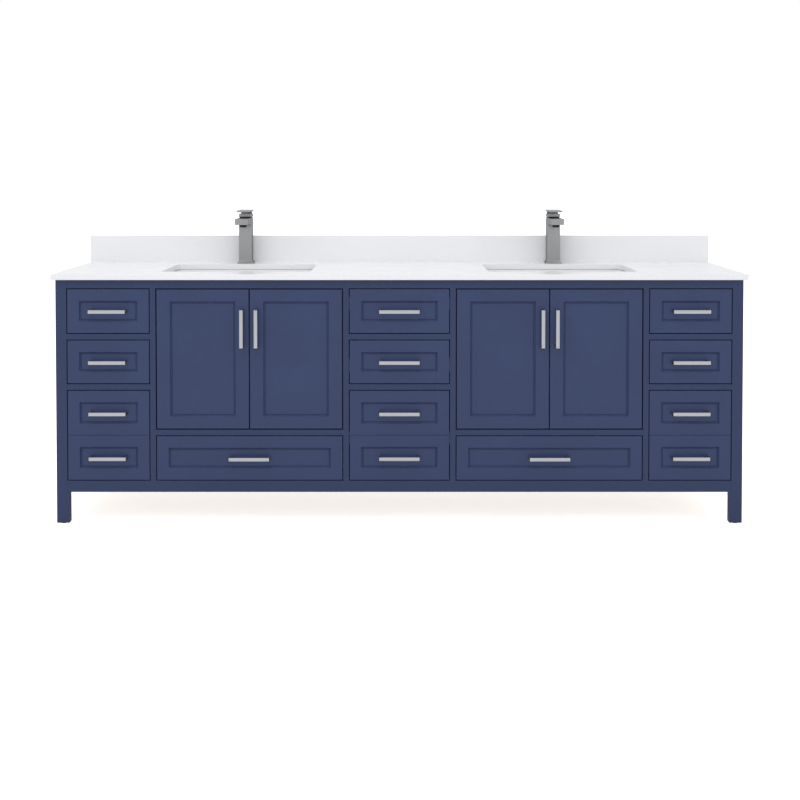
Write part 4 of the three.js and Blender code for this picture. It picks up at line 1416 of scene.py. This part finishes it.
def build_slides(metal, name):
    """The two slides of a drawer: the channels screwed in the case, and the rails on the box in them."""
    low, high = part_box(f"{name}_box")
    z = slide_level(metal, name)
    space, sheet = metal.slide_space, metal.sheet
    front = low.y + 2 * MM
    back = front + metal.slide_length
    half = metal.slide_height / 2
    inset = 40 * MM
    channels, rails, cages = bmesh.new(), bmesh.new(), bmesh.new()
    for box_x, way in ((low.x, 1), (high.x, -1)):
        wall_x = box_x - way * space
        channel = slide_outline(wall_x, way, *CHANNEL_SPAN, half, sheet, z)
        rail = slide_outline(wall_x, way, space - 0.2 * MM, RAIL_LIP, half * RAIL_SHARE, sheet, z)
        add_prism(channels, channel, Y, front, back)
        add_prism(rails, rail, Y, front, back - RAIL_SHORTER)
        near, far = [wall_x + way * edge for edge in CAGE_SPAN]
        thin = half * CAGE_THIN
        for side in (-1, 1):
            middle = z + side * half * CAGE_PLACE
            add_block(cages, (near, front + 8 * MM, middle - thin), (far, back - inset, middle + thin))
        head = wall_x + way * (0.1 * MM + sheet)
        profile = [(radius, way * out) for radius, out in scaled(RIVET_PROFILE)]
        for place in (front + inset, (front + back) / 2, back - inset):
            add_turned(channels, profile, (head, place, z), X, steps=16)
    finish_piece(channels, f"{name}_slide_channels", "zinc_steel", 0.25 * MM)
    finish_piece(cages, f"{name}_slide_cages", "dark_plastic", 0.4 * MM)
    finish_piece(rails, f"{name}_slide_rails", "zinc_steel", 0.25 * MM, body=name)


def build_slide_blocks(timber, metal):
    """Spacer blocks that bring the slides flush with the openings, on the sides and on the bay dividers."""
    half = metal.slide_height / 2 + 6 * MM
    space = metal.slide_space
    bay_low, bay_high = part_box("bay_case_left")
    blocks = bmesh.new()
    for bank, sign in (("left", -1), ("right", 1)):
        case_low, case_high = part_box(f"bay_case_{bank}")
        low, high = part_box(f"{bank}_wide_drawer_box")
        places = [
            ((low.z + high.z) / 2, case_low.x + BAY_WALL, low.x - space),
            ((low.z + high.z) / 2, case_high.x - BAY_WALL, high.x + space),
        ]
        for row in ROWS:
            low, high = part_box(f"{bank}_{row}_drawer_box")
            opening = (high.x if sign > 0 else low.x) + sign * space
            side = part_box("floor_and_back")[1].x * sign
            places.append((slide_level(metal, f"{bank}_{row}_drawer"), side, opening))
        for z, wall, opening in places:
            add_block(blocks, (wall, bay_low.y + 9 * MM, z - half), (opening, bay_high.y - 1 * MM, z + half))
    finish_piece(blocks, "slide_blocks", "birch_deep", timber.ply_edge)


# ---- Doors

CUP_PROFILE = ((0, 0.05), (0, 1.5), (-1.2, 1.8), (-2.4, 1.5), (-2.8, 0.4), (-8, 0.2))  # out, height
HINGE_INSET = 95 * MM  # from a door's end to a hinge
PLATE_SCREW = ((4, 0), (3.6, 1.2), (1.6, 1.5))
CUP_WING = (21 * MM, 64 * MM, 5 * MM)  # width, height and corner radius of the cup's plate
CUP_SCREW, ARM_SCREW = 26 * MM, 17 * MM  # from a hinge's middle to its screws
LINK_OFFSET, LINK_HALF = 4 * MM, 6 * MM


def build_door_leaf(timber, name):
    """A door: stiles and rails round one tall recessed panel."""
    low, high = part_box(f"{name}_leaf")
    stile, rail = timber.door_stile, timber.door_rail
    rows = [(z, 0.0) for z in (low.z, low.z + rail, high.z - rail, high.z)]
    board = bmesh.new()
    add_panelled_board(
        board, timber, lambda u, v, depth: Vector((u, low.y + depth, v)),
        [low.x, low.x + stile, high.x - stile, high.x], rows, {(1, 1)}, high.y - low.y,
    )
    finish_piece(board, f"{name}_panel", "satin_front", timber.paint_edge, [f"{name}_leaf"], name)


def hinge_side(name):
    """+1 where a door's hinges are at its right edge, and -1 where they are at its left."""
    return -1 if name.startswith("left") == ("outer" in name) else 1


def build_hinges(timber, metal, name):
    """Two concealed hinges: a cup and its links on the door, and an arm on a plate in the case."""
    low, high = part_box(f"{name}_leaf")
    side = hinge_side(name)
    edge = high.x if side > 0 else low.x
    back = high.y
    stile = edge + side * timber.door_gap
    radius = metal.cup_radius
    cup_x = edge - side * (radius + 5 * MM)
    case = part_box(f"bay_case_{name.split('_')[0]}")
    divider = case[0].x + BAY_WALL if edge < (case[0].x + case[1].x) / 2 else case[1].x - BAY_WALL
    screw_head = [(width, -side * out) for width, out in scaled(PLATE_SCREW)]
    cups, plates, blocks = bmesh.new(), bmesh.new(), bmesh.new()

    def put(bm, z, start, end, depths, half):
        """A block round a hinge's height, between two places along X and two depths behind the door."""
        near, far = [back + depth * MM for depth in depths]
        add_block(bm, (start, near, z - half * MM), (end, far, z + half * MM))

    for z in (low.z + HINGE_INSET, high.z - HINGE_INSET):
        wing = rounded_rectangle((cup_x, z), *CUP_WING)
        add_prism(cups, wing, Y, back + 0.05 * MM, back + 1.2 * MM)
        cup = [(radius + out, rise) for out, rise in scaled(CUP_PROFILE)]
        add_turned(cups, cup, (cup_x, back, z), Y, steps=36)
        for way in (-1, 1):
            screw = (cup_x, back + 1.2 * MM, z + way * CUP_SCREW)
            add_screw(cups, screw, 3.6 * MM, 1.1 * MM)
            link = z + way * LINK_OFFSET
            put(cups, link, cup_x - LINK_HALF, cup_x + LINK_HALF, (0.3, 1.9), 1)
            head = (stile - side * 2 * MM, back + 30 * MM, z + way * ARM_SCREW)
            add_turned(plates, screw_head, head, X, steps=SCREW_STEPS)
        put(plates, z, stile - side * 1.5 * MM, cup_x + side * 2 * MM, (3, 12), 7)
        put(plates, z, stile, stile - side * 2 * MM, (3, 46), 24)
        put(plates, z, stile - side * 1.8 * MM, stile - side * 9 * MM, (4, 50), 8)
        put(blocks, z, divider, stile, (3, 60), 32)
    finish_piece(cups, f"{name}_hinge_cups", "zinc_steel", 0.3 * MM, body=name)
    finish_piece(plates, f"{name}_hinge_arms", "zinc_steel", 0.5 * MM)
    finish_piece(blocks, f"{name}_hinge_blocks", "birch_deep", timber.ply_edge)


def build_door_screws(metal, name):
    """The heads of the pull's screws on the back of a door."""
    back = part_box(f"{name}_leaf")[1].y
    low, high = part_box(f"{name}_pull")
    screws = bmesh.new()
    for z in (low.z + metal.pull_foot / 2, high.z - metal.pull_foot / 2):
        add_screw(screws, ((low.x + high.x) / 2, back, z), metal.screw_radius * 1.1, 2.4 * MM)
    finish_piece(screws, f"{name}_screws", "zinc_steel", body=name)


BUMPER_PROFILE = ((4.5, 0), (4.5, -1.2), (3.2, -1.8))


def build_door_stops(timber):
    """What a pair of doors closes against: a painted stop rail, soft bumpers and seal strips all round. The
    rail and the dark seal strips also stand in for the shade in the gaps round the doors, as painted shade.
    """
    stops, bumpers, shade_seals = bmesh.new(), bmesh.new(), bmesh.new()
    gap = timber.door_gap
    for side, _ in SIDES:
        leaves = [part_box(f"{side}_bay_{place}_door_leaf") for place in ("outer", "inner")]
        case_low, case_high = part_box(f"bay_case_{side}")
        start, end = case_low.x + BAY_WALL + 0.2 * MM, case_high.x - BAY_WALL - 0.2 * MM
        left = min(leaf[0].x for leaf in leaves) - gap
        right = max(leaf[1].x for leaf in leaves) + gap
        bottom, top = leaves[0][0].z - gap + 0.2 * MM, leaves[0][1].z + gap
        back = leaves[0][1].y
        front = back + 2 * MM
        # The rail, in frame paint, closes the view through the top gap: painted shade there.
        add_block(stops, (start, front, top - 14 * MM), (end, front + 14 * MM, top + 4.5 * MM))
        for offset in (-24 * MM, 24 * MM):
            place = ((left + right) / 2 + offset, front, top - 9 * MM)
            add_turned(bumpers, scaled(BUMPER_PROFILE), place, Y, steps=24)
        # Dark strips behind the gaps round the doors: painted shade.
        for inner, outer, above in (
            (left + 7 * MM, start, top - 14.2 * MM), (right - 7 * MM, end, top - 14.2 * MM),
            (left + 7.2 * MM, right - 7.2 * MM, bottom + 9.8 * MM),
        ):
            add_block(shade_seals, (inner, back + 1.5 * MM, bottom), (outer, back + 2.7 * MM, above))
    finish_piece(stops, "door_stop_rails", "satin_frame", timber.ply_edge)
    finish_piece(bumpers, "door_bumpers", "dark_plastic")
    finish_piece(shade_seals, "door_seals", "dark_plastic", 0.3 * MM)


def build_door_fin(name):
    """A soft dark strip on a door's meeting edge that covers the gap to the other door, as painted shade in
    that gap.
    """
    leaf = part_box(f"{name}_leaf")
    side = hinge_side(name)
    edge = leaf[0].x if side > 0 else leaf[1].x
    back, thin = leaf[1].y - 2 * MM, 1 * MM
    lip, tip = edge - side * 2.2 * MM, edge - side * 2.8 * MM
    outline = [(edge, back), (edge, back - thin), (lip, back - thin), (tip, back - thin * 0.6), (lip, back)]
    shade_fin = bmesh.new()
    add_prism(shade_fin, outline, Z, leaf[0].z + 1 * MM, leaf[1].z - 1 * MM)
    # Dark plastic on the meeting edge: painted shade in the gap between the doors.
    finish_piece(shade_fin, f"{name}_fin", "dark_plastic", body=name)


# ---- Stage

SENSOR_WIDTH, VIEW_END = 36.0, 200.0
FLOOR_SIZE, FLOOR_CORNER = 60.0, 5.0
LIGHT_TARGET = (0.0, 0.0, 0.6)
KEY_PLACE, KEY_SIZE = (-0.8, -2.2, 4.1), 3.0
FILL_PLACE, FILL_SIZE = (3.6, -2.8, 2.0), 2.4
WHITE, COOL_WHITE = (1.0, 1.0, 1.0, 1.0), (0.97, 0.98, 1.0, 1.0)


def place_object(name, data):
    """A new object in the scene."""
    made = bpy.data.objects.new(name, data)
    bpy.context.scene.collection.objects.link(made)
    return made


def build_camera(stage):
    """The camera in front of the vanity's middle."""
    camera = bpy.data.cameras.new("camera")
    camera.lens = stage.lens
    camera.sensor_width = SENSOR_WIDTH
    camera.shift_y = stage.shift
    camera.clip_end = VIEW_END
    placed = place_object("camera", camera)
    placed.location = (stage.sideways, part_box("countertop")[0].y - stage.distance, stage.height)
    placed.rotation_euler = (math.radians(90) - stage.pitch, 0.0, 0.0)
    bpy.context.scene.camera = placed


def seen_by_camera(tree, otherwise, shown):
    """One shader for what the camera sees directly, and another for every other ray."""
    camera_ray = add_node(tree, "LightPath").outputs["Is Camera Ray"]
    inputs = {0: camera_ray, 1: otherwise, 2: shown}
    return add_node(tree, "MixShader", None, inputs).outputs[0]


def build_floor(stage):
    """A pale floor with a faint unevenness, shown to the camera as light as the backdrop."""
    bm = bmesh.new()
    outline = rounded_rectangle((0.0, 0.0), FLOOR_SIZE, FLOOR_SIZE, FLOOR_CORNER)
    bm.faces.new([bm.verts.new((a, b, 0.0)) for a, b in outline])
    mesh = bpy.data.meshes.new("floor")
    bm.to_mesh(mesh)
    bm.free()
    material, tree, shader = new_material("pale_floor", Roughness=0.9, Specular_IOR_Level=0.1)
    rgb = stage.floor_colour
    shades = mix_colours(tree, mottle_of(tree, 0.6, 1.0), opaque(rgb, 0.99), opaque(rgb, 1.01))
    tree.links.new(shades, shader["Base Color"])
    glow = add_node(tree, "Emission", None, {"Strength": stage.floor_glow})
    plain = tree.nodes["Principled BSDF"].outputs[0]
    lifted = add_node(tree, "AddShader", None, {0: plain, 1: glow.outputs[0]})
    shown = seen_by_camera(tree, plain, lifted.outputs[0])
    tree.links.new(shown, tree.nodes["Material Output"].inputs["Surface"])
    mesh.materials.append(material)
    place_object("floor", mesh)


def add_area_light(name, place, size, power):
    """A soft square light that faces the vanity, and that metal and glaze don't mirror."""
    light = bpy.data.lights.new(name, "AREA")
    light.shape = "SQUARE"
    light.size = size
    light.energy = power
    placed = place_object(name, light)
    placed.visible_glossy = False
    placed.location = place
    towards = Vector(LIGHT_TARGET) - Vector(place)
    placed.rotation_euler = towards.to_track_quat("-Z", "Y").to_euler()


def build_lights(stage):
    """A large light over the front, a weaker one from the right, and even white light all round."""
    add_area_light("key_light", KEY_PLACE, KEY_SIZE, stage.key_power)
    add_area_light("fill_light", FILL_PLACE, FILL_SIZE, stage.fill_power)
    world = bpy.data.worlds.new("white_studio")
    world.use_nodes = True
    tree = world.node_tree
    tree.nodes.clear()
    seen = add_node(tree, "Background", None, {"Color": WHITE, "Strength": 1.0})
    around = add_node(tree, "Background", None, {"Color": COOL_WHITE, "Strength": stage.ambient})
    shown = seen_by_camera(tree, around.outputs[0], seen.outputs[0])
    add_node(tree, "OutputWorld", None, {"Surface": shown})
    bpy.context.scene.world = world
    bpy.context.scene.view_settings.view_transform = "Standard"


# ---- Operators

OPTIONS = {"REGISTER", "UNDO"}
DONE = {"FINISHED"}


class VANITY_OT_stage(bpy.types.Operator):
    """Make the camera, the pale floor and the soft lights"""

    bl_idname = "vanity.stage"
    bl_label = "Stage"
    bl_options = OPTIONS

    def execute(self, context):
        for build in (build_camera, build_floor, build_lights):
            build(context.scene.vanity_stage)
        return DONE


class VANITY_OT_face_frame(bpy.types.Operator):
    """Make the face frame, the sides, the legs and their glides"""

    bl_idname = "vanity.face_frame"
    bl_label = "Face frame and sides"
    bl_options = OPTIONS

    def execute(self, context):
        timber = context.scene.vanity_timber
        build_face_frame(timber)
        for side, sign in SIDES:
            build_side_panel(timber, side, sign)
        build_glides(timber)
        return DONE


class VANITY_OT_case(bpy.types.Operator):
    """Make the floor, the back, the dividers, the shelves and the braces"""

    bl_idname = "vanity.case"
    bl_label = "Inside of the case"
    bl_options = OPTIONS

    def execute(self, context):
        build_case(context.scene.vanity_timber)
        return DONE


class VANITY_OT_worktop(bpy.types.Operator):
    """Make the worktop, the backsplash and the bead between them"""

    bl_idname = "vanity.worktop"
    bl_label = "Worktop"
    bl_options = OPTIONS

    def execute(self, context):
        build_worktop(context.scene.vanity_stone)
        return DONE


class VANITY_OT_basins(bpy.types.Operator):
    """Make the basins with their overflows, wastes and clips"""

    bl_idname = "vanity.basins"
    bl_label = "Basins"
    bl_options = OPTIONS

    def execute(self, context):
        for side, _ in SIDES:
            build_basin(context.scene.vanity_stone, side)
        return DONE


class VANITY_OT_taps(bpy.types.Operator):
    """Make the taps: bodies, caps, levers and fixings"""

    bl_idname = "vanity.taps"
    bl_label = "Taps"
    bl_options = OPTIONS

    def execute(self, context):
        for side, _ in SIDES:
            for build in (build_tap_body, build_tap_fixing, build_tap_cap, build_tap_lever):
                build(context.scene.vanity_metal, side)
        return DONE


class VANITY_OT_drawers(bpy.types.Operator):
    """Make the drawer faces, the dovetailed boxes and their screws"""

    bl_idname = "vanity.drawers"
    bl_label = "Drawers"
    bl_options = OPTIONS

    def execute(self, context):
        timber = context.scene.vanity_timber
        for name in DRAWERS:
            build_drawer_front(timber, name)
            build_drawer_box(timber, name)
            build_drawer_screws(timber, context.scene.vanity_metal, name)
        return DONE


class VANITY_OT_slides(bpy.types.Operator):
    """Make the drawer slides and the blocks that carry them"""

    bl_idname = "vanity.slides"
    bl_label = "Slides"
    bl_options = OPTIONS

    def execute(self, context):
        metal = context.scene.vanity_metal
        for name in DRAWERS:
            build_slides(metal, name)
        build_slide_blocks(context.scene.vanity_timber, metal)
        return DONE


class VANITY_OT_doors(bpy.types.Operator):
    """Make the doors, their hinges and their stops, with dark strips that paint the shade in their gaps"""

    bl_idname = "vanity.doors"
    bl_label = "Doors"
    bl_options = OPTIONS

    def execute(self, context):
        timber, metal = context.scene.vanity_timber, context.scene.vanity_metal
        for name in DOORS:
            build_door_leaf(timber, name)
            build_hinges(timber, metal, name)
            build_door_screws(metal, name)
            if "outer" in name:
                build_door_fin(name)
        build_door_stops(timber)
        return DONE


class VANITY_OT_pulls(bpy.types.Operator):
    """Make the bar pulls of the drawers and the doors"""

    bl_idname = "vanity.pulls"
    bl_label = "Bar pulls"
    bl_options = OPTIONS

    def execute(self, context):
        for name in DRAWERS + DOORS:
            for node in pull_nodes(name):
                build_pull(context.scene.vanity_metal, node, name)
        return DONE


class VANITY_PT_sidebar(bpy.types.Panel):
    """Lists the operators and the settings."""

    bl_label = "Bathroom vanity"
    bl_idname = "VANITY_PT_sidebar"
    bl_space_type = "VIEW_3D"
    bl_region_type = "UI"
    bl_category = "Vanity"

    def draw(self, context):
        for operator in OPERATORS:
            self.layout.operator(operator.bl_idname)
        for name in SETTINGS:
            box = self.layout.box()
            group = getattr(context.scene, name)
            for label in type(group).__annotations__:
                box.prop(group, label)


SETTINGS = {
    "vanity_timber": VanityTimber, "vanity_stone": VanityStone, "vanity_metal": VanityMetal,
    "vanity_stage": VanityStage,
}
OPERATORS = (
    VANITY_OT_stage, VANITY_OT_face_frame, VANITY_OT_case, VANITY_OT_worktop, VANITY_OT_basins,
    VANITY_OT_taps, VANITY_OT_drawers, VANITY_OT_slides, VANITY_OT_doors, VANITY_OT_pulls,
)


def register():
    for name, group in SETTINGS.items():
        bpy.utils.register_class(group)
        setattr(bpy.types.Scene, name, PointerProperty(type=group))
    for shown in (*OPERATORS, VANITY_PT_sidebar):
        bpy.utils.register_class(shown)


def unregister():
    for shown in (VANITY_PT_sidebar, *reversed(OPERATORS)):
        bpy.utils.unregister_class(shown)
    for name, group in SETTINGS.items():
        delattr(bpy.types.Scene, name)
        bpy.utils.unregister_class(group)


def main():
    """Builds the vanity piece by piece."""
    register()
    for operator in OPERATORS:
        group, name = operator.bl_idname.split(".")
        getattr(getattr(bpy.ops, group), name)()


if __name__ == "__main__":
    main()
